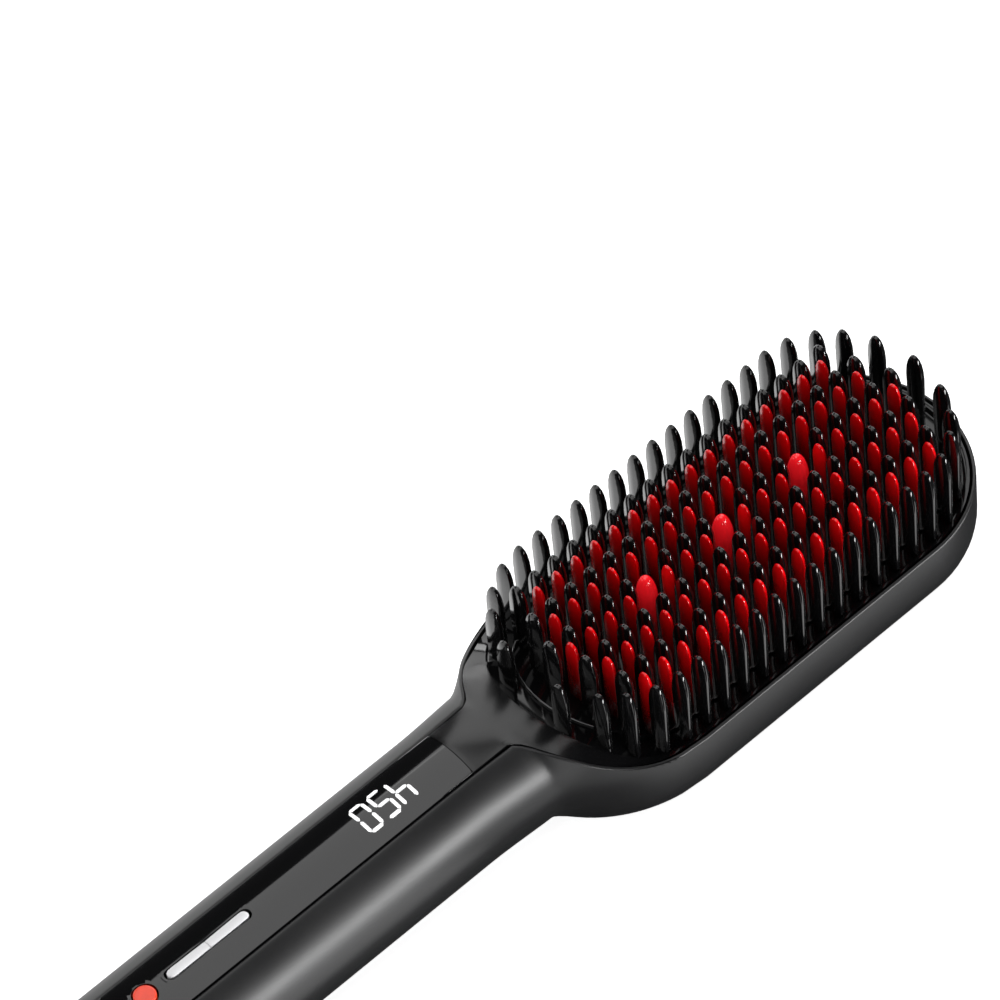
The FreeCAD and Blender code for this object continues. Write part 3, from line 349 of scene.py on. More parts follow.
def skin(bm, rings, closed=False):
    """Join rings of as many points each into one wall and return the rings' edges."""
    rows = [list(ring) + [ring[0]] for ring in (rings + rings[:1] if closed else rings)]
    verts, wide = patch(bm, rows), len(rows[0])
    grid = [verts[first:first + wide] for first in range(0, len(verts), wide)]
    welds = {row[-1]: row[0] for row in grid}
    if closed:
        last = grid.pop()
        welds.update(zip(last, grid[0]))
        welds[last[-1]] = grid[0][0]
    bmesh.ops.weld_verts(bm, targetmap=welds)
    return [[bm.edges.get(pair) for pair in zip(row[:-1], row[1:-1] + row[:1])] for row in grid]


def capped(bm, rings):
    """A wall through rings of points with both of its ends filled."""
    loops = skin(bm, rings)
    for loop in (loops[0], loops[-1]):
        bmesh.ops.triangle_fill(bm, edges=loop, use_beauty=True)


def patch(bm, rows):
    """A grid of faces with its points in millimetres, set row by row."""
    verts = bmesh.ops.create_grid(bm, x_segments=len(rows[0]) - 1, y_segments=len(rows) - 1,
                                  size=1.0)["verts"]
    for vert, point in zip(verts, chain.from_iterable(rows)):
        vert.co = Vector(point) * MM
    return verts


def drawn_out(bm, edges):
    """Extrude edges where they are and return the new vertices and edges."""
    made = bmesh.ops.extrude_edge_only(bm, edges=edges)["geom"]
    return [[item for item in made if isinstance(item, kind)]
            for kind in (bmesh.types.BMVert, bmesh.types.BMEdge)]


def spun(bm, profile, steps, axis=UP, centre=(0, 0, 0)):
    """Turn a line of points in millimetres into a closed solid about an axis."""
    verts = [bm.verts.new(Vector(point) * MM) for point in profile]
    edges = [bm.edges.new(pair) for pair in zip(verts, verts[1:])]
    bmesh.ops.spin(bm, geom=verts + edges, cent=Vector(centre) * MM, axis=axis,
                   angle=math.tau, steps=steps, use_merge=True)


def bevel(bm, edges, width, segments=2):
    bmesh.ops.bevel(bm, geom=list(edges), offset=width * MM, affect="EDGES", segments=segments,
                    profile=0.5, material=-1)


def rounded_block(bm, low, high, width, segments=3):
    """A block between two corners in millimetres with rounded edges."""
    made = bmesh.ops.create_cube(bm, size=1.0)["verts"]
    low, high = Vector(low) * MM, Vector(high) * MM
    bmesh.ops.scale(bm, vec=high - low, verts=made)
    bmesh.ops.translate(bm, vec=(low + high) / 2, verts=made)
    bevel(bm, dict.fromkeys(edge for vert in made for edge in vert.link_edges), width, segments)


def around(turn, radius=1.0):
    """The two coordinates of a point on a circle, by its turn in degrees."""
    angle = math.radians(turn)
    return radius * math.cos(angle), radius * math.sin(angle)


def oval(half, radius, level, steps=28):
    """Points round a slot outline at a level, anticlockwise."""
    points = []
    for centre, start in ((half, -90.0), (-half, 90.0)):
        for step in range(steps + 1):
            x, y = around(start + 180.0 * step / steps, radius)
            points.append((centre + x, y, level))
    return points


def as_mesh(name, bm):
    mesh = bpy.data.meshes.new(name)
    bm.to_mesh(mesh)
    bm.free()
    if not mesh.polygons:
        raise RuntimeError(f"{name} has no faces")
    return mesh


def finished(name, bm, finish, nodes=(), body="brush", crease=40.0):
    """Write a bmesh to an object that rides on a body and stands for its solids."""
    bmesh.ops.remove_doubles(bm, verts=bm.verts, dist=0.002 * MM)
    bmesh.ops.dissolve_degenerate(bm, edges=bm.edges, dist=0.001 * MM)
    bmesh.ops.recalc_face_normals(bm, faces=bm.faces)
    mesh = as_mesh(name, bm)
    mesh.materials.append(finish.material)
    mesh.shade_smooth()
    mesh.set_sharp_from_angle(angle=math.radians(crease))
    piece = bpy.data.objects.new(name, mesh)
    evened = piece.modifiers.new("evened", "WEIGHTED_NORMAL")
    evened.weight, evened.keep_sharp = 100, True
    return settled(piece, nodes, body)


def settled(piece, nodes=(), body="brush"):
    """Put a piece in the scene, on its body and in the place of its solids."""
    bpy.context.scene.collection.objects.link(piece)
    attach(piece, body)
    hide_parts(*nodes)
    return piece


def sizes():
    return bpy.context.scene.brush_sizes


def colours():
    return bpy.context.scene.brush_colours


# Forms shared by the shell and the gloss frame


def smooth_step(share):
    share = min(1.0, max(0.0, share))
    return share * share * (3 - 2 * share)


def shoulder_bend():
    """Run, drop and radius of each of the two arcs between the handle and the rim."""
    run, drop = (RIM_START - PANEL_SEAM) / 2, (CREST_LEVEL - RIM_LEVEL) / 2
    return run, drop, (run * run + drop * drop) / (2 * drop)


def shoulder_level(x):
    """Height of the shell's upper edge, which falls from the handle to the rim in two arcs."""
    run, _, bend = shoulder_bend()
    if x <= PANEL_SEAM:
        return CREST_LEVEL
    if x >= RIM_START:
        return RIM_LEVEL
    if x < PANEL_SEAM + run:
        return CREST_LEVEL - bend + math.sqrt(bend ** 2 - (x - PANEL_SEAM) ** 2)
    return RIM_LEVEL + bend - math.sqrt(bend ** 2 - (RIM_START - x) ** 2)


def shoulder_station(level):
    """Station along the brush where the shell's upper edge has a level."""
    _, drop, bend = shoulder_bend()
    if level >= CREST_LEVEL - drop:
        return PANEL_SEAM + math.sqrt(max(0.0, bend ** 2 - (bend - CREST_LEVEL + level) ** 2))
    return RIM_START - math.sqrt(max(0.0, bend ** 2 - (bend + RIM_LEVEL - level) ** 2))


def head_reach(level):
    """Radius of the head's round ends at a level, less the rounding of the back."""
    drop = max(0.0, BACK_ROUND - level)
    return HEAD_RADIUS - BACK_ROUND + math.sqrt(BACK_ROUND ** 2 - drop ** 2)


def handle_width(x, level):
    """Half width of the round handle at a level, which swells a little towards the head."""
    away = min(HANDLE_RADIUS, abs(level - AXIS_LEVEL))
    swell = 1 + 0.06 * smooth_step((x + 94.0) / 24.0)
    return math.sqrt(HANDLE_RADIUS ** 2 - away ** 2) * swell


def half_width(x, level):
    """Half width of the brush at a station and level, with a soft hollow beside the neck."""
    reach = head_reach(level)
    away = (-HEAD_HALF - x) * reach / (reach + NECK_STRETCH)
    if away <= 0:
        return reach
    inside = reach ** 2 - away ** 2
    head = math.sqrt(inside) if inside > 0 else -math.sqrt(-inside)
    handle = handle_width(x, level)
    hollow = 6.0 + 5.0 * smooth_step(level / 20.0)
    near = max(0.0, hollow - abs(head - handle)) / hollow
    return max(head, handle) + near * near * hollow / 4 * min(1.0, handle / 6.0)


def rise(x):
    """How far the plates under the teeth sweep up towards the neck."""
    return NECK_RISE * smooth_step((RISE_START - x) / RISE_RUN)


# Operators


class BRUSH_OT_stage(bpy.types.Operator):
    """Set up the floor, the lights and the camera"""
    bl_idname = "brush.stage"
    bl_label = "Stage"

    def execute(self, context):
        stage = context.scene.brush_stage
        context.scene.view_settings.view_transform = "Standard"
        self.camera(context.scene, stage.lens)
        self.floor(context.scene)
        for name, place, aim, size in LIGHTS:
            self.light(name, getattr(stage, name), place, aim, size)
        for name, share, low, high in CARDS:
            self.card(name, share * stage.paper, low, high)
        world = bpy.data.worlds.new("studio")
        world.use_nodes = True
        sky = world.node_tree.nodes["Background"].inputs
        sky["Color"].default_value, sky["Strength"].default_value = (0.9, 0.92, 0.95, 1), 0.03
        context.scene.world = world
        return {"FINISHED"}

    def camera(self, scene, lens):
        data = bpy.data.cameras.new("camera")
        data.sensor_width, data.lens = 36.0, lens
        data.clip_start, data.clip_end = 0.05, 20.0
        camera = bpy.data.objects.new("camera", data)
        turn = Matrix(CAMERA_AXES).transposed().to_4x4()
        camera.matrix_world = Matrix.Translation(CAMERA_PLACE * MM) @ turn
        scene.collection.objects.link(camera)
        scene.camera = camera

    def floor(self, scene):
        """Plain pale paper with a faint cloud, a little below the brush."""
        bm = bmesh.new()
        bmesh.ops.create_grid(bm, x_segments=1, y_segments=1, size=6.0)
        mesh = as_mesh("floor", bm)
        paper = lit("floor_paper", ((0.9, 0.9, 0.9), (0.93, 0.93, 0.93)),
                    ((0.84, 0.84, 0.84), (0.86, 0.86, 0.86)), 3.0, Roughness=0.9,
                    Specular_IOR_Level=0.1, Emission_Strength=1.0)
        mesh.materials.append(paper.material)
        floor = bpy.data.objects.new("floor", mesh)
        floor.location.z = -0.0005
        floor.visible_glossy = False
        scene.collection.objects.link(floor)

    def card(self, name, glow, low, high):
        """A lit sheet of paper that lies on the floor between two corners."""
        middle = Vector((low[0] + high[0], low[1] + high[1], 0.002)) / 2
        lamp = self.light(name, glow, middle, middle + UP, (high[0] - low[0], high[1] - low[1]))
        lamp.rotation_euler = (math.pi, 0, 0)

    def light(self, name, glow, place, aim, size):
        """An area light whose face has a given brightness."""
        data = bpy.data.lights.new(name, "AREA")
        data.shape = "RECTANGLE"
        data.size, data.size_y = size
        data.energy = glow * math.pi * data.size * data.size_y
        lamp = bpy.data.objects.new(name, data)
        lamp.visible_camera = False
        lamp.location = place
        lamp.rotation_euler = (Vector(aim) - Vector(place)).to_track_quat("-Z", "Y").to_euler()
        bpy.context.scene.collection.objects.link(lamp)
        return lamp


def coil_points():
    """Points round the coil: turns wind inward and outward in layers on one another."""
    points = []
    layer = COIL_TURN / COIL_LAYERS
    count = round(COIL_TURN / 360.0 * COIL_STEPS)
    for step in range(count + 1):
        turn = COIL_TURN * step / count
        wound = turn % (2 * layer)
        inward = math.radians(min(wound, 2 * layer - wound))
        radius = COIL_RADIUS - COIL_PITCH / math.tau * inward
        climb = sum(smooth_step((turn - number * layer) / 180.0 + 0.5)
                    for number in range(1, COIL_LAYERS))
        x, y = around(COIL_START + turn, radius)
        points.append(COIL_CENTRE + Vector((x, y, climb * COIL_PITCH)))
    return points


class BRUSH_OT_cord(bpy.types.Operator):
    """Lay the mains cord with its coil, tie and plug"""
    bl_idname = "brush.cord"
    bl_label = "Cord, tie and plug"

    def execute(self, context):
        rubber = moulded("cord_rubber", (0.016, 0.016, 0.017), 0.5, grain=1500.0)
        data = bpy.data.curves.new("mains_cord", "CURVE")
        data.dimensions = "3D"
        data.bevel_depth, data.bevel_resolution = sizes().cord_radius, 5
        data.use_fill_caps = True
        route = [*LEAD, *coil_points(), *TAIL]
        spline = data.splines.new("NURBS")
        spline.points.add(len(route) - 1)
        for point, place in zip(spline.points, route):
            point.co = (*(Vector(place) * MM), 1.0)
        spline.order_u = 3
        spline.use_endpoint_u = True
        spline.resolution_u = 5
        data.materials.append(rubber.material)
        cord = settled(bpy.data.objects.new("mains_cord", data),
                       ("cord_lead", "cord_coil", "cord_tail"))
        tie, plug = self.tie(), self.plug()
        return {"FINISHED"}

    def tie(self):
        """A hook-and-loop band round one side of the coil, with its end laid over itself."""
        low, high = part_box("cord_tie")
        low, high = low / MM, high / MM
        bm = bmesh.new()
        wall, corner = 0.9, 4.0

        def band(inset, y):
            near, far = low.x + corner, high.x - corner
            floor, top = low.z + corner, high.z - corner
            points = []
            for x, z, start in ((far, floor, -90), (far, top, 0), (near, top, 90),
                                (near, floor, 180)):
                for step in range(7):
                    along, up = around(start + 15 * step, corner - inset)
                    points.append((x + along, y, z + up))
            return points

        skin(bm, [band(0.25, low.y), band(0, low.y + 0.3), band(0, high.y - 0.3),
                  band(0.25, high.y), band(wall, high.y), band(wall, low.y)], closed=True)
        rounded_block(bm, (low.x + 5.5, low.y + 0.4, high.z - wall * 1.9),
                      (high.x - 4.0, high.y - 0.4, high.z - 0.05), 0.3)
        weave = Finish("tie_fabric", Roughness=0.85)
        place = weave.place()
        hooks = weave.node("ShaderNodeTexVoronoi", sockets={"Vector": place, "Scale": 1400.0})
        weave.feed("Base Color", weave.blend(hooks, (0.03, 0.03, 0.03), (0.008, 0.008, 0.008)))
        weave.relief(0.6, 0.15 * MM, hooks)
        return finished("cord_tie_band", bm, weave, ("cord_tie",))

    def plug(self):
        """A moulded two-pin plug with finger grips and a ribbed tail."""
        bm = bmesh.new()
        y, z = PLUG_SIDE, PLUG_LEVEL
        rounded_block(bm, (-259.1, y - 12.0, 0.05), (-229.1, y + 12.0, 17.95), 4.0, 4)
        for number in range(5):
            x = -253.0 + 3.2 * number
            for grip in (y - 11.7, y + 11.7):
                rounded_block(bm, (x, grip - 0.3, 4.2), (x + 1.6, grip + 0.3, 13.8), 0.25, 2)
        profile = [(-257.0, 0.0), (-257.0, 6.4), (-259.3, 6.2)]
        for number in range(4):
            x, radius = -260.6 - 2.6 * number, 5.9 - 0.42 * number
            profile += [(x - along, radius - dip) for along, dip in (
                (0.0, 0.0), (0.4, 0.7), (1.1, 0.75), (1.5, 0.2))]
        profile += [(-270.9, 4.1), (-271.1, 3.6), (-271.1, 0.0)]
        spun(bm, [(x, y, z + radius) for x, radius in profile], 32, ALONG, (0, y, z))
        face = moulded("plug_rubber", (0.018, 0.018, 0.019), 0.42, grain=1900.0)
        return finished("mains_plug", bm, face, ("plug_body",))


class BRUSH_OT_shell(bpy.types.Operator):
    """Build the matte shell of the head and the handle"""
    bl_idname = "brush.shell"
    bl_label = "Shell"

    def execute(self, context):
        bm = bmesh.new()
        handle = [TUBE_END, -190.0, -170.0, -150.0, -130.0, -115.0, -104.0, -98.0]
        shoulder = shoulder_station(SLOT_LEVEL)
        neck = [shoulder + 1.6 * number for number in range(-10, 20)] + [RIM_START]
        lower_levels = [AXIS_LEVEL - around(turn, HANDLE_RADIUS)[0] for turn in range(0, 91, 6)]
        lower_levels = [0.09] + lower_levels + [AXIS_LEVEL + 1.1, RIM_LEVEL]
        patch(bm, [self.lower_row(level, handle + neck) for level in lower_levels])
        patch(bm, [self.upper_row(number / 12, handle + neck) for number in range(13)])
        bmesh.ops.remove_doubles(bm, verts=bm.verts, dist=0.004 * MM)
        bmesh.ops.dissolve_degenerate(bm, edges=bm.edges, dist=0.001 * MM)
        bmesh.ops.mirror(bm, geom=bm.verts[:] + bm.edges[:] + bm.faces[:], axis="Y",
                         merge_dist=0.01 * MM)
        bmesh.ops.remove_doubles(bm, verts=bm.verts, dist=0.004 * MM)
        self.back(bm)
        self.edge(bm, sizes().rim_lip / MM)
        finish = moulded("soft_black", colours().shell, 0.38, spread=0.06, grain=3200.0,
                         depth=0.012, strength=0.2)
        finished("back_shell", bm, finish, ("back_housing",))
        return {"FINISHED"}

    def lower_row(self, level, stations):
        """One side of the outline at a level below the rim, from the handle's end to the tip."""
        reach = head_reach(level)
        row = []
        for x in stations:
            width = half_width(x, level)
            if level < AXIS_LEVEL - HANDLE_RADIUS + 0.01 and (
                    width <= 0 or x < 0.3 - HEAD_HALF - reach - NECK_STRETCH):
                row.append((x, 0, AXIS_LEVEL - HANDLE_RADIUS))
            else:
                row.append((x, -max(0.0, width), level))
        row += [(x, -reach, level) for x in (-HEAD_HALF, -26.0, -13.0, 0.0, 13.0, 26.0)]
        for step in range(19):
            aside, ahead = around(5 * step, reach)
            row.append((HEAD_HALF + ahead, -aside, level))
        return row

    def upper_row(self, share, stations):
        """One side of the outline above the rim, at a share of the turn up to the shell's edge."""
        row = []
        for x in stations:
            start, end = (math.acos((AXIS_LEVEL - level) / HANDLE_RADIUS)
                          for level in (RIM_LEVEL, min(SLOT_LEVEL, shoulder_level(x))))
            level = AXIS_LEVEL - HANDLE_RADIUS * math.cos(start + (end - start) * share)
            row.append((x, -half_width(x, level), level))
        return row

    def back(self, bm):
        """Close the flat back round the groove of the ring."""
        neck_end = (-HEAD_HALF - HEAD_RADIUS - NECK_STRETCH) * MM
        outer = [edge for edge in bm.edges if edge.is_boundary
                 and max(vert.co.z for vert in edge.verts) < 0.3 * MM
                 and min(vert.co.x for vert in edge.verts) > neck_end]
        groove = skin(bm, [oval(RING_HALF, radius, level) for radius, level in (
            (24.1, 0.03), (24.1, 1.4), (18.9, 1.4), (18.9, 0.02))])
        bmesh.ops.triangle_fill(bm, edges=outer + groove[0], use_beauty=True)
        bmesh.ops.triangle_fill(bm, edges=groove[-1], use_beauty=True)

    def edge(self, bm, lip):
        """Turn the upper edge inward as a lip and down behind the gloss frame."""
        tube_end = (TUBE_END + 0.1) * MM

        def past_end(edge):
            return edge.is_boundary and max(vert.co.x for vert in edge.verts) > tube_end

        outer = [edge for edge in bm.edges if past_end(edge)
                 and min(vert.co.z for vert in edge.verts) > 17.0 * MM]
        rims = [outer]
        for depth, turn_down in ((lip, False), (2.4, True)):
            verts, edges = drawn_out(bm, rims[-1])
            for vert in verts:
                vert.co += self.inward(vert.co / MM, turn_down) * depth * MM
            rims.append([edge for edge in edges if past_end(edge)])
        bmesh.ops.recalc_face_normals(bm, faces=bm.faces)
        bevel(bm, rims[1], 0.12, 2)
        bevel(bm, outer, 0.7, 4)

    def inward(self, spot, turn_down):
        """Direction off the shell's edge: to the handle's axis, or level or down on the head."""
        share = smooth_step((spot.x + 80.0) / 26.0)
        radial = Vector((0, -spot.y, AXIS_LEVEL - spot.z)).normalized()
        core = min(HEAD_HALF, max(-HEAD_HALF, spot.x))
        level = Vector((core - spot.x, -spot.y, 0)).normalized()
        flat = -UP if turn_down else level
        return (radial * (1 - share) + flat * share).normalized()


class BRUSH_OT_ring(bpy.types.Operator):
    """Lay the red oval ring into the back"""
    bl_idname = "brush.ring"
    bl_label = "Ring"

    def execute(self, context):
        bm = bmesh.new()
        outlines = ((24.0, 1.3), (24.0, 0.3), (23.94, 0.17), (23.8, 0.11), (23.3, 0.1), (19.7, 0.1),
                    (19.2, 0.11), (19.06, 0.17), (19.0, 0.3), (19.0, 1.3))
        skin(bm, [oval(RING_HALF, radius, level, 40) for radius, level in outlines], closed=True)
        finish = moulded("ring_red", colours().ring, 0.24, spread=0.05, grain=900.0, depth=0.006,
                         Coat_Weight=0.4, Coat_Roughness=0.12)
        finished("ring_inlay", bm, finish, ("ring_trim",))
        return {"FINISHED"}


class BRUSH_OT_front(bpy.types.Operator):
    """Build the gloss frame with its scooped neck and the raised guard plate"""
    bl_idname = "brush.front"
    bl_label = "Gloss frame and guard plate"

    def execute(self, context):
        gloss = black_gloss("gloss_black", 0.07)
        self.frame_piece(self.neck_gloss())
        self.guard_piece(gloss)
        return {"FINISHED"}

    def neck_gloss(self):
        """Gloss on the plate that turns satin up the neck."""
        finish = Finish("frame_gloss")
        place = finish.place()
        drift = finish.noise(place, 42.0, 4.0)
        satin = finish.node("ShaderNodeMapRange", {"interpolation_type": "SMOOTHSTEP"}, {
            "Value": finish.height(place), "From Min": 26.2 * MM, "From Max": 28.6 * MM,
            "To Min": 0.07, "To Max": 0.26})
        black = colours().gloss
        finish.feed("Base Color", finish.blend(drift, tone(black, 0.88), tone(black, 1.12)))
        finish.feed("Roughness", satin + (drift - 0.5) * 0.03)
        finish.relief(0.1, 0.002 * MM, finish.noise(place, 700.0))
        return finish

    def frame_piece(self, gloss):
        """Rows run from the seam over the band and the neck, down the recess and onto the plate."""
        bm = bmesh.new()
        outline = self.outline()
        rows = [[(x, y, z - drop) for x, y, z in outline] for drop in (1.8, 0.12)]
        for share in [0.012] + [number / 16 for number in range(1, 16)]:
            rows.append([self.between(spot, share) for spot in outline])
        for inset, sink in ((-0.45, 0.0), (-0.12, 0.07), (0.0, 0.3)):
            rows.append([self.near_recess(spot, inset, sink) for spot in outline])
        for inset, lift in ((0.05, 0.5), (0.2, 0.12), (0.5, 0.0), (2.5, 0.0), (5.0, 0.0),
                            (7.5, 0.0)):
            rows.append([self.floor(spot, inset, lift) for spot in outline])
        patch(bm, [row + row[:1] for row in rows])
        finished("gloss_frame", bm, gloss, ("front_frame",))

    def floor(self, spot, inset, lift):
        """A point of the recess's floor, which sweeps up to the neck below its edge."""
        x, y = self.recess(spot, inset)
        edge = self.level(*self.recess(spot, 0.0))
        return x, y, min(edge - 0.6, PLATE_LEVEL + rise(x)) + lift

    def outline(self):
        """Points along the seam, from the tip round by the far side and the neck."""
        reach = self.seam(HEAD_HALF)[0]
        bend = (around(turn, reach) for turn in range(-90, 91, 6))
        tip = [(HEAD_HALF + x, y, RIM_LEVEL - SEAM_DROP) for x, y in bend]
        stations = [26.0, 13.0, 0.0, -13.0, -26.0]
        stations += [-HEAD_HALF - 1.45 * step for step in range(36)] + [PANEL_SEAM + SEAM_GAP]
        side = [(x, *self.seam(x)) for x in stations]
        width = side[-1][1]
        across = [(PANEL_SEAM + SEAM_GAP, width * (1 - step / 8)) for step in range(1, 16)]
        end = [(x, y, self.level(x, y)) for x, y in across]
        return tip + side + end + [(x, -y, z) for x, y, z in reversed(side)]

    def recess(self, spot, inset):
        """The place on the recess's edge that a point of the seam looks at."""
        core = Vector((min(HEAD_HALF, max(-HEAD_HALF, spot[0])), 0))
        place = core + (Vector(spot[:2]) - core).normalized() * (RECESS_RADIUS - inset)
        return tuple(place)

    def between(self, spot, share):
        """A point of the band at a share of the way from the seam to the recess."""
        rim = self.recess(spot, -0.9)
        x, y = (start + (end - start) * share for start, end in zip(spot, rim))
        return x, y, self.level(x, y)

    def near_recess(self, spot, inset, sink):
        """A point of the rounding at the recess's edge."""
        x, y = self.recess(spot, inset)
        return x, y, self.level(x, y) - sink

    def level(self, x, y):
        """Height of the band and of the neck, which is highest along its middle."""
        width, edge = self.seam(x)
        gone = x - PANEL_SEAM
        crest = AXIS_LEVEL + HANDLE_RADIUS - NECK_FALL * (gone - 6.0 * (1 - math.exp(-gone / 6.0)))
        middle = crest + (edge - crest) * smooth_step((x + 66.0) / 20.0)
        return middle + (edge - middle) * min(1.0, abs(y) / max(width, 1.0)) ** 2

    def seam(self, x):
        """Half width and height of the frame's edge at a station."""
        limit = shoulder_station(SLOT_LEVEL)
        if x <= limit:
            up, aside = around(PANEL_TURN, HANDLE_RADIUS)
            return aside, AXIS_LEVEL + up
        gap = 0.4 + 0.4 * smooth_step((x - limit) / 6.0) + 0.8 * smooth_step((x - limit) / 24.0)
        level = shoulder_level(x)
        if x < RIM_START:
            return half_width(x, level) - gap, level - 0.05 - 0.3 * smooth_step((x - limit) / 24.0)
        away = max(0.0, x - HEAD_HALF, -HEAD_HALF - x)
        reach = HEAD_RADIUS - gap
        return math.sqrt(max(0.0, reach ** 2 - away ** 2)), RIM_LEVEL - SEAM_DROP

    def guard_piece(self, gloss):
        """A plate with a rounded edge that follows the sweep of the floor."""
        bm = bmesh.new()
        outlines = [(24.7, 16.0), (24.7, 18.55), (24.62, 18.78), (24.4, 18.94)]
        outlines += [(radius, GUARD_LEVEL) for radius in (24.1, 20.0, 16.0, 12.0, 8.0, 4.0, 0.5)]
        capped(bm, [[(x, y, z + rise(x)) for x, y, z in oval(GUARD_HALF, radius, level)]
                    for radius, level in outlines])
        finished("guard_platform", bm, gloss, ("guard_plate",))


def tooth_form():
    """A blade of unit half sizes: its stem runs from level 0 to 1, its nose from 1 to 2."""
    bm = bmesh.new()
    half = ((0.7, -0.85), (1, 0), (0.7, 0.85), (0.42, 1))
    corners = [*half, *((-across, -aside) for across, aside in half)]
    rings = [[(across * 0.94, aside * 0.9, 0.0) for across, aside in corners]]
    for turn in (0, 24, 45, 62, 76, 86):
        shrink, up = around(turn)
        thin, wide = shrink ** 0.45, shrink ** 0.9
        rings.append([(across * thin, aside * wide, 1 + up) for across, aside in corners])
    capped(bm, [[Vector(point) / MM for point in ring] for ring in rings])
    return as_mesh("tooth", bm)


def egg_form():
    """A round outlet of unit radius with the same levels."""
    bm = bmesh.new()
    dome = (around(turn) for turn in (15, 30, 45, 60, 75, 90))
    profile = [(0.62, 0.0), (1.0, 1.0), *((across, 1 + up) for across, up in dome)]
    spun(bm, [Vector((across, 0, level)) / MM for across, level in profile], 24)
    return as_mesh("egg", bm)


def stand(bm, tooth, places, thick, broad, nose):
    """Copy a tooth to (x, y, foot, tip) places, with its half sizes along and across the brush."""
    for x, y, foot, tip in places:
        known = len(bm.verts)
        bm.from_mesh(tooth)
        bm.verts.ensure_lookup_table()
        for vert in bm.verts[known:]:
            across, aside, share = vert.co
            level = foot + share * (tip - nose - foot) if share <= 1 else tip - nose * (2 - share)
            vert.co = Vector((x + across * thick, y + aside * broad, level)) * MM


def crown(y):
    """Height of the tooth tips, which fall a little to the sides."""
    return 45.0 - 2.0 * (y / RIM_SIDE) ** 2


def row_columns(row):
    """Columns of a row, as multiples of the pitch from the head's middle."""
    reach = ROW_REACH[row]
    return [-reach + number for number in range(round(2 * reach) + 1)]


def guard_places():
    return [(column * TOOTH_PITCH, row * ROW_PITCH, GUARD_LEVEL - 0.2, crown(row * ROW_PITCH))
            for row in ROW_REACH for column in row_columns(row)
            if row or column not in OUTLET_COLUMNS]


def heat_places():
    places = []
    for row in ROW_REACH:
        for column in row_columns(row)[:-1]:
            if row or column + 1 not in OUTLET_COLUMNS:
                y = row * ROW_PITCH - 3.0
                places.append(((column + 0.5) * TOOTH_PITCH + 0.7, y, GUARD_LEVEL - 0.2,
                               crown(y) - 1.2))
    return places


def rim_places():
    foot, tip = PLATE_LEVEL - 0.2, crown(RIM_SIDE)
    places = [((number - (RIM_TEETH - 1) / 2) * TOOTH_PITCH, side * RIM_SIDE, foot, tip)
              for number in range(RIM_TEETH) for side in (-1, 1)]
    for end, turns in ((1, TIP_TURNS), (-1, NECK_TURNS)):
        for turn in turns:
            ahead, aside = around(turn)
            for side in (-1, 1) if turn else (1,):
                places.append((end * (RIM_END + END_REACH * ahead), side * RIM_SIDE * aside,
                               foot, tip))
    return places


def outlet_places():
    return [(column * TOOTH_PITCH - 1.3, -0.6, GUARD_LEVEL - 0.1, OUTLET_TOP)
            for column in OUTLET_COLUMNS]


class BRUSH_OT_teeth(bpy.types.Operator):
    """Stand the black teeth, the heated teeth and the ion outlets in their rows"""
    bl_idname = "brush.teeth"
    bl_label = "Teeth and outlets"

    def execute(self, context):
        size, colour = sizes(), colours()
        black = moulded("tooth_black", colour.gloss, 0.1, grain=900.0, depth=0.002, strength=0.05,
                        Coat_Weight=0.3, Coat_Roughness=0.05, Sheen_Weight=0.03,
                        Sheen_Roughness=0.12)
        # The near black colours given for the foot of the heated teeth and of the outlets are
        # painted shade.
        red = tooth_gloss("heat_red", colour.heat, (0.01, 0.0005, 0.0005), 44.0, 20.0, 0.2,
                          Coat_Weight=0.35, Coat_Roughness=0.08)
        # The outlets' emission is a painted glow: nothing inside them lights them.
        outlet_painted_glow = tooth_gloss("outlet_red", colour.outlet, (0.09, 0.001, 0.002), OUTLET_TOP, 20.0,
                             0.16, Coat_Weight=0.6, Coat_Roughness=0.06, Emission_Strength=0.3)
        thick, broad, round_half = (value / MM for value in (
            size.tooth_thick, size.tooth_broad, size.outlet_radius))
        guard, edge = (thick, broad, 6.3), (thick, broad - 0.2, 7.5)
        heated = (size.heat_thick / MM, size.heat_broad / MM, 4.5)
        outlet = (round_half, round_half, 8.0)
        tooth, egg = tooth_form(), egg_form()
        for name, node, form, shape, places, finish, slot in (
                ("guard_teeth_set", "guard_teeth", tooth, guard, guard_places, black, "gloss_black"),
                ("rim_teeth_set", "rim_teeth", tooth, edge, rim_places, black, "gloss_black"),
                ("heated_teeth_set", "heating_teeth", tooth, heated, heat_places, red, "heat_red"),
                ("ion_outlet_set", "ion_outlets", egg, outlet, outlet_places, outlet_painted_glow, "outlet_red")):
            bm = bmesh.new()
            stand(bm, form, places(), *shape)
            finished(name, bm, finish, (node,), crease=80.0)
        for form in (tooth, egg):
            bpy.data.meshes.remove(form)
        return {"FINISHED"}


def on_panel(x, y, lift=0.0):
    """The point of the handle's round top at a station and a side."""
    return (x, y, AXIS_LEVEL + math.sqrt((HANDLE_RADIUS + lift) ** 2 - y * y))


SEGMENTS = {  # ends of each stroke in (across, up) shares
    "a": ((0, 1), (1, 1)), "b": ((1, 0.5), (1, 1)), "c": ((1, 0), (1, 0.5)), "d": ((0, 0), (1, 0)),
    "e": ((0, 0), (0, 0.5)), "f": ((0, 0.5), (0, 1)), "g": ((0, 0.5), (1, 0.5))}
DIGITS = (("bcfg", -105.7), ("acdfg", -111.2), ("abcdef", -116.8))


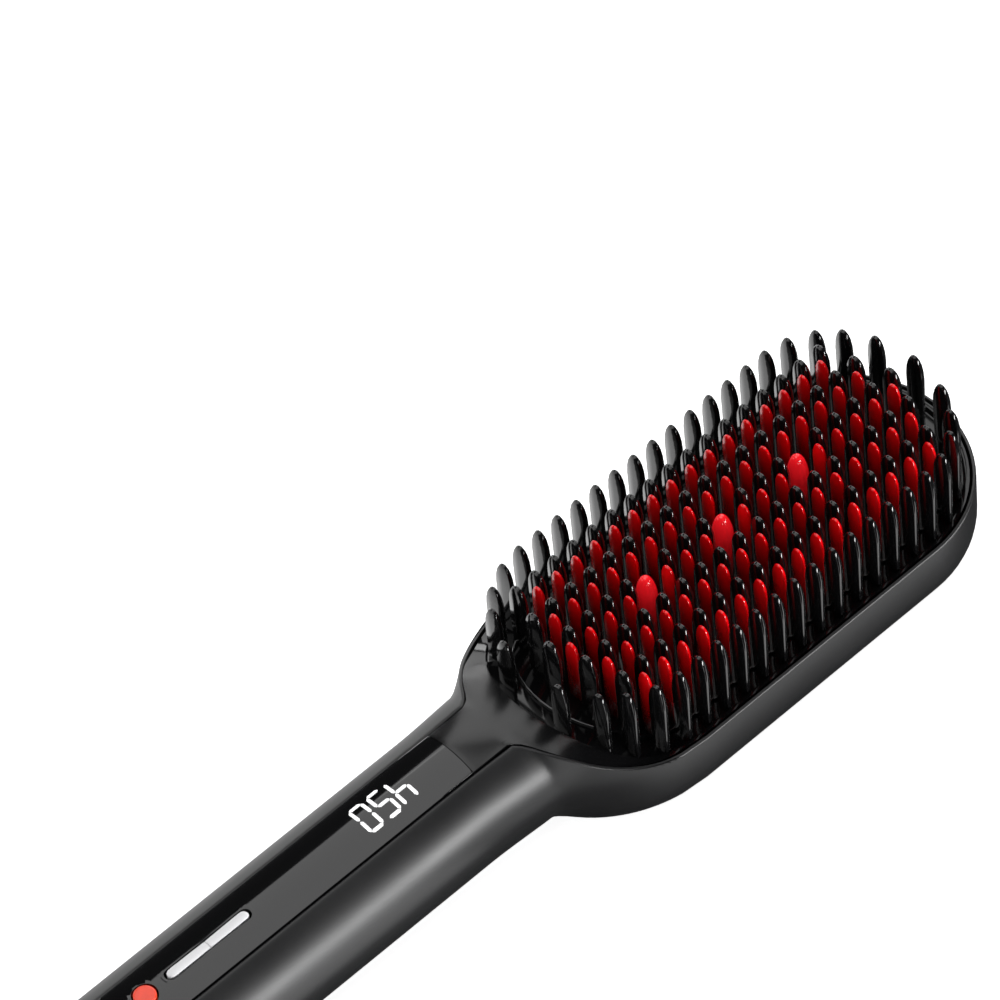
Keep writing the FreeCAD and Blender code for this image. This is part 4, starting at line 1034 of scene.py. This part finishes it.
class BRUSH_OT_panel(bpy.types.Operator):
    """Build the gloss control panel with its keys' openings and lit digits"""
    bl_idname = "brush.panel"
    bl_label = "Control panel and display"

    def execute(self, context):
        gloss = black_gloss("panel_gloss", 0.08)
        bm = bmesh.new()
        sides = [around(PANEL_TURN * (number / 18 - 1), HANDLE_RADIUS)[1] for number in range(37)]
        stations = [PANEL_END, -196.0, -193.0, -191.0, -189.5, -188.7, -188.0, -187.3, -186.6,
                    -186.0, -185.4, -184.7, -184.0, -183.3, -182.5, -181.0, -180.2, -179.4,
                    -178.7, -178.0, -170.0, -166.5, -160.0, -155.0, -154.3, -153.6, -152.8,
                    -148.0, -140.0, -130.0, -120.0, -110.0, -100.0, -95.0, PANEL_SEAM - SEAM_GAP]
        patch(bm, [[on_panel(x, y) for y in sides] for x in stations])
        self.opening(bm, (-189.6, -182.4), 13.5, POWER_PLACE, 0.0, 3.2)
        self.opening(bm, (-181.1, -152.7), 7.2, ROCKER_PLACE, 11.5, 1.6)
        border = [edge for edge in bm.edges if edge.is_boundary]
        for vert in drawn_out(bm, border)[0]:
            vert.co.z -= 1.5 * MM
        bevel(bm, border, 0.15, 2)
        finished("gloss_panel", bm, gloss, ("control_panel",))
        self.digits()
        return {"FINISHED"}

    def opening(self, bm, span, turn, centre, half, radius):
        """Take a patch out of the panel and draw its border in to a rounded opening."""
        side = around(turn, HANDLE_RADIUS)[1]

        def within(place, margin=0.0):
            return span[0] < place.x / MM < span[1] and abs(place.y) / MM < side + margin

        inside = [face for face in bm.faces if within(face.calc_center_median())]
        bmesh.ops.delete(bm, geom=inside, context="FACES")
        border = [edge for edge in bm.edges if edge.is_boundary
                  and all(within(vert.co, 0.4) for vert in edge.verts)]
        for vert in drawn_out(bm, border)[0]:
            x, y = vert.co.x / MM, vert.co.y / MM
            along = centre + max(-half, min(half, x - centre))
            pull = radius / math.hypot(x - along, y)
            vert.co = Vector(on_panel(along + (x - along) * pull, y * pull)) * MM

    def digits(self):
        """Three seven-stroke digits lit behind the panel, tops towards -Y."""
        bm = bmesh.new()
        wide, tall, stroke = 3.7, 8.0, 0.48
        for strokes, centre in DIGITS:
            for name in strokes:
                (x0, y0), (x1, y1) = SEGMENTS[name]
                start = Vector((centre + wide * (0.5 - x0), tall * (0.5 - y0), 0))
                end = Vector((centre + wide * (0.5 - x1), tall * (0.5 - y1), 0))
                self.stroke(bm, start, end, stroke)
        light = lit("digit_light", ((0.8, 0.8, 0.8), (0.95, 0.95, 0.95)),
                    ((0.85, 0.86, 0.88), (1.0, 1.0, 1.0)), 900.0, Roughness=0.4,
                    Emission_Strength=0.4)
        finished("lit_digits", bm, light, crease=60.0)

    def stroke(self, bm, start, end, half):
        """One lit stroke with pointed ends, laid on the panel's curve."""
        ahead = (end - start).normalized()
        across = Vector((-ahead.y, ahead.x, 0))
        start, end = start + ahead * 0.16, end - ahead * 0.16
        run = (end - start).length
        rows = []
        for away in (0.0, half, run / 4 + half / 2, run / 2, 3 * run / 4 - half / 2, run - half,
                     run):
            wide = half * min(1.0, 0.25 + away / half, 0.25 + (run - away) / half)
            spots = [start + ahead * away + across * wide * side for side in (-1, -0.5, 0, 0.5, 1)]
            rows.append([on_panel(spot.x, spot.y, 0.05) for spot in spots])
        patch(bm, rows)


class BRUSH_OT_keys(bpy.types.Operator):
    """Build the white rocker and the glowing power button"""
    bl_idname = "brush.keys"
    bl_label = "Keys"

    def execute(self, context):
        self.rocker()
        self.power_button()
        return {"FINISHED"}

    def rocker(self):
        """A slim bar with raised ends and a groove across its middle."""
        half = ((12.4, 0.1), (12.1, 0.36), (11.4, 0.5), (10.0, 0.52), (5.0, 0.42), (0.4, 0.3),
                (0.15, 0.26))
        heights = [(-along, lift) for along, lift in half] + [(0.0, -0.1), *reversed(half)]
        foot, face = 31.5, 35.55
        rings = []
        for along, lift in heights:
            side = 1.22 * math.sqrt(1 - max(0.0, (abs(along) - 11.2) / 1.25) ** 2)
            ring = [(side * share, face + lift - 0.22 * abs(share) ** 3)
                    for share in (-0.98, -0.8, -0.4, 0, 0.4, 0.8, 0.98)]
            rings.append([(ROCKER_PLACE + along, y, z)
                          for y, z in [(-side, foot), *ring, (side, foot)]])
        bm = bmesh.new()
        capped(bm, rings)
        white = moulded("key_white", colours().key, 0.32, spread=0.03, grain=1600.0, depth=0.006,
                        Coat_Weight=0.2, Coat_Roughness=0.2)
        finished("rocker_key", bm, white, ("temperature_rocker",), "rocker", 50.0)

    def power_button(self):
        """A round key with a slightly dished, glowing face."""
        bm = bmesh.new()
        profile = ((0, 31.6), (2.8, 31.6), (2.8, 35.5), (2.72, 35.72), (2.5, 35.84), (2.2, 35.88),
                   (1.4, 35.82), (0, 35.78))
        spun(bm, [(POWER_PLACE + across, 0, level) for across, level in profile], 40, UP,
             (POWER_PLACE, 0, 0))
        colour = colours().lamp
        glow = lit("key_orange", (tone(colour, 0.8), tone(colour, 1.1)),
                   (tone(colour, 0.85), tone(colour, 1.1)), 500.0, 3.0, Roughness=0.3,
                   Coat_Weight=0.3, Emission_Strength=0.22)
        finished("power_key_cap", bm, glow, ("power_button",), "power_key", 50.0)


class BRUSH_OT_end(bpy.types.Operator):
    """Build the end cap, the swivel collar and the ribbed strain relief"""
    bl_idname = "brush.end"
    bl_label = "End cap, swivel and relief"

    def execute(self, context):
        cap = moulded("cap_black", tone(colours().shell, 1.1), 0.4, grain=3000.0, depth=0.012,
                      strength=0.2)
        self.turned("handle_cap", self.cap_profile(), 72, cap, "soft_black", "end_cap", "brush")
        collar = moulded("swivel_black", (0.012, 0.012, 0.012), 0.3, grain=2000.0)
        profile = ((-207.8, 0.0), (-207.8, 8.0), (-209.3, 8.1), (-209.5, 8.4), (-210.8, 8.5),
                   (-211.05, 8.2), (-211.1, 6.0), (-211.1, 0.0))
        self.turned("swivel_ring", profile, 56, collar, "swivel_black", "swivel_collar", "swivel")
        rubber = moulded("relief_rubber", (0.019, 0.019, 0.02), 0.5, grain=1800.0)
        self.turned("cord_relief", self.relief_profile(), 40, rubber, "relief_rubber",
                    "strain_relief", "swivel")
        return {"FINISHED"}

    def turned(self, name, stations, steps, finish, slot, node, body):
        """A piece from (x, radius) stations turned about the handle's axis."""
        bm = bmesh.new()
        spun(bm, [(x, 0, AXIS_LEVEL + radius) for x, radius in stations], steps, ALONG,
             (0, 0, AXIS_LEVEL))
        finished(name, bm, finish, (node,), body)

    def cap_profile(self):
        """A cap with a rounded rim and a round seat for the collar."""
        profile = [(-202.2, 0.0), (-202.2, 16.6), (-203.1, 16.8), (-203.25, 17.55), (-203.5, 17.75),
                   (-205.0, 17.8)]
        bend = (around(turn, 4.0) for turn in range(10, 91, 10))
        profile += [(-205.0 - along, 13.8 + out) for out, along in bend]
        return profile + [(-209.0, 9.3), (-208.8, 9.0), (-207.5, 8.9), (-207.5, 0.0)]

    def relief_profile(self):
        """A plain root and seven ribs that shrink towards the cord."""
        profile = [(-210.8, 0.0), (-210.8, 6.1), (-211.2, 6.2), (-213.0, 6.15), (-229.6, 5.4)]
        first, ribs = -231.1, 7
        pitch = (first - RELIEF_END) / ribs
        groove = ((1.5, 0.0), (1.35, 1.0), (1.1, 1.2), (0.3, 1.2), (0.1, 1.0), (0.0, 0.15),
                  (-0.25, 0.0), (1.75 - pitch, 0.1))
        for number in range(ribs):
            profile += [(first - pitch * number + along, 5.4 - 0.13 * number - dip)
                        for along, dip in groove]
        profile += [(-258.8, 4.5), (RELIEF_END, 4.2), (RELIEF_END, 0.0)]
        return profile


class BRUSH_OT_insides(bpy.types.Operator):
    """Give the solids inside the brush and the plug's blades their finishes"""
    bl_idname = "brush.insides"
    bl_label = "Inside pieces"

    def execute(self, context):
        for finish, nodes in (
                (metal("plate_alloy", (0.62, 0.63, 0.65), 0.38), ("heating_plate",)),
                (metal("spring_steel", (0.55, 0.55, 0.57), 0.3),
                 ("heater_clamp", "case_screws", "rocker_pin", "board_screws", "swivel_clip")),
                (metal("contact_brass", (0.72, 0.55, 0.26), 0.28), ("slip_rings",)),
                (metal("blade_brass", (0.68, 0.62, 0.48), 0.25, (30.0, 700.0, 700.0)),
                 ("plug_blades",)),
                (moulded("heater_ceramic", (0.75, 0.72, 0.66), 0.6, grain=1200.0),
                 ("heater_strips",)),
                (moulded("mica_board", (0.42, 0.33, 0.2), 0.5, spread=0.3, grain=500.0),
                 ("insulation_sheet",)),
                (moulded("sensor_body", (0.7, 0.66, 0.58), 0.35, grain=1500.0),
                 ("thermal_fuse", "thermistor")),
                (moulded("module_grey", (0.06, 0.062, 0.066), 0.45, grain=1500.0),
                 ("contact_block", "ion_generator")),
                (moulded("switch_black", (0.02, 0.02, 0.02), 0.4, grain=1800.0),
                 ("tact_switches",)),
                (moulded("display_dark", (0.01, 0.01, 0.012), 0.12, grain=900.0),
                 ("display_module",)),
                (moulded("lamp_clear", (0.6, 0.3, 0.2), 0.15, grain=900.0, Transmission_Weight=0.3),
                 ("power_lamp",)),
                (moulded("lead_white", (0.7, 0.7, 0.7), 0.45, grain=1500.0), ("heater_leads",)),
                (moulded("lead_black", (0.02, 0.02, 0.02), 0.45, grain=1500.0), ("mains_leads",)),
                (self.board(), ("main_board",))):
            for node in nodes:
                for holder in bpy.data.objects[node].material_slots:
                    holder.material = finish.material
        return {"FINISHED"}

    def board(self):
        """Green circuit board with a lattice of copper tracks under the lacquer."""
        finish = Finish("board_green", Coat_Weight=0.3)
        place = finish.place()
        tracks = finish.node("ShaderNodeTexBrick", {"offset": 0.35}, {
            "Vector": place, "Scale": 260.0, "Color1": (0.0, 0.0, 0.0), "Color2": (0.1, 0.1, 0.1),
            "Mortar": (1.0, 1.0, 1.0), "Mortar Size": 0.03})
        finish.feed("Base Color", finish.blend(tracks, (0.008, 0.09, 0.03), (0.05, 0.22, 0.08)))
        finish.feed("Roughness", 0.35 + (finish.noise(place, 200.0) - 0.5) * 0.2)
        return finish


class BRUSH_PT_pieces(bpy.types.Panel):
    """The operators that dress the brush, in order"""
    bl_idname = "BRUSH_PT_pieces"
    bl_label = "Straightening brush"
    bl_space_type = "VIEW_3D"
    bl_region_type = "UI"
    bl_category = "Brush"

    def draw(self, context):
        for group in (getattr(context.scene, name) for name in GROUPS):
            for name in group.__annotations__:
                self.layout.prop(group, name)
        for operator in OPERATORS:
            self.layout.operator(operator.bl_idname)


OPERATORS = (BRUSH_OT_stage, BRUSH_OT_cord, BRUSH_OT_shell, BRUSH_OT_ring, BRUSH_OT_front,
             BRUSH_OT_teeth, BRUSH_OT_panel, BRUSH_OT_keys, BRUSH_OT_end, BRUSH_OT_insides)
GROUPS = {"brush_sizes": BrushSizes, "brush_colours": BrushColours, "brush_stage": BrushStage}
CLASSES = (*GROUPS.values(), *OPERATORS, BRUSH_PT_pieces)


def register():
    for item in CLASSES:
        bpy.utils.register_class(item)
    for name, group in GROUPS.items():
        setattr(bpy.types.Scene, name, bpy.props.PointerProperty(type=group))


def unregister():
    for name in GROUPS:
        delattr(bpy.types.Scene, name)
    for item in reversed(CLASSES):
        bpy.utils.unregister_class(item)


def main():
    register()
    for operator in OPERATORS:
        getattr(bpy.ops.brush, operator.bl_idname.split(".")[1])()


if __name__ == "__main__":
    main()
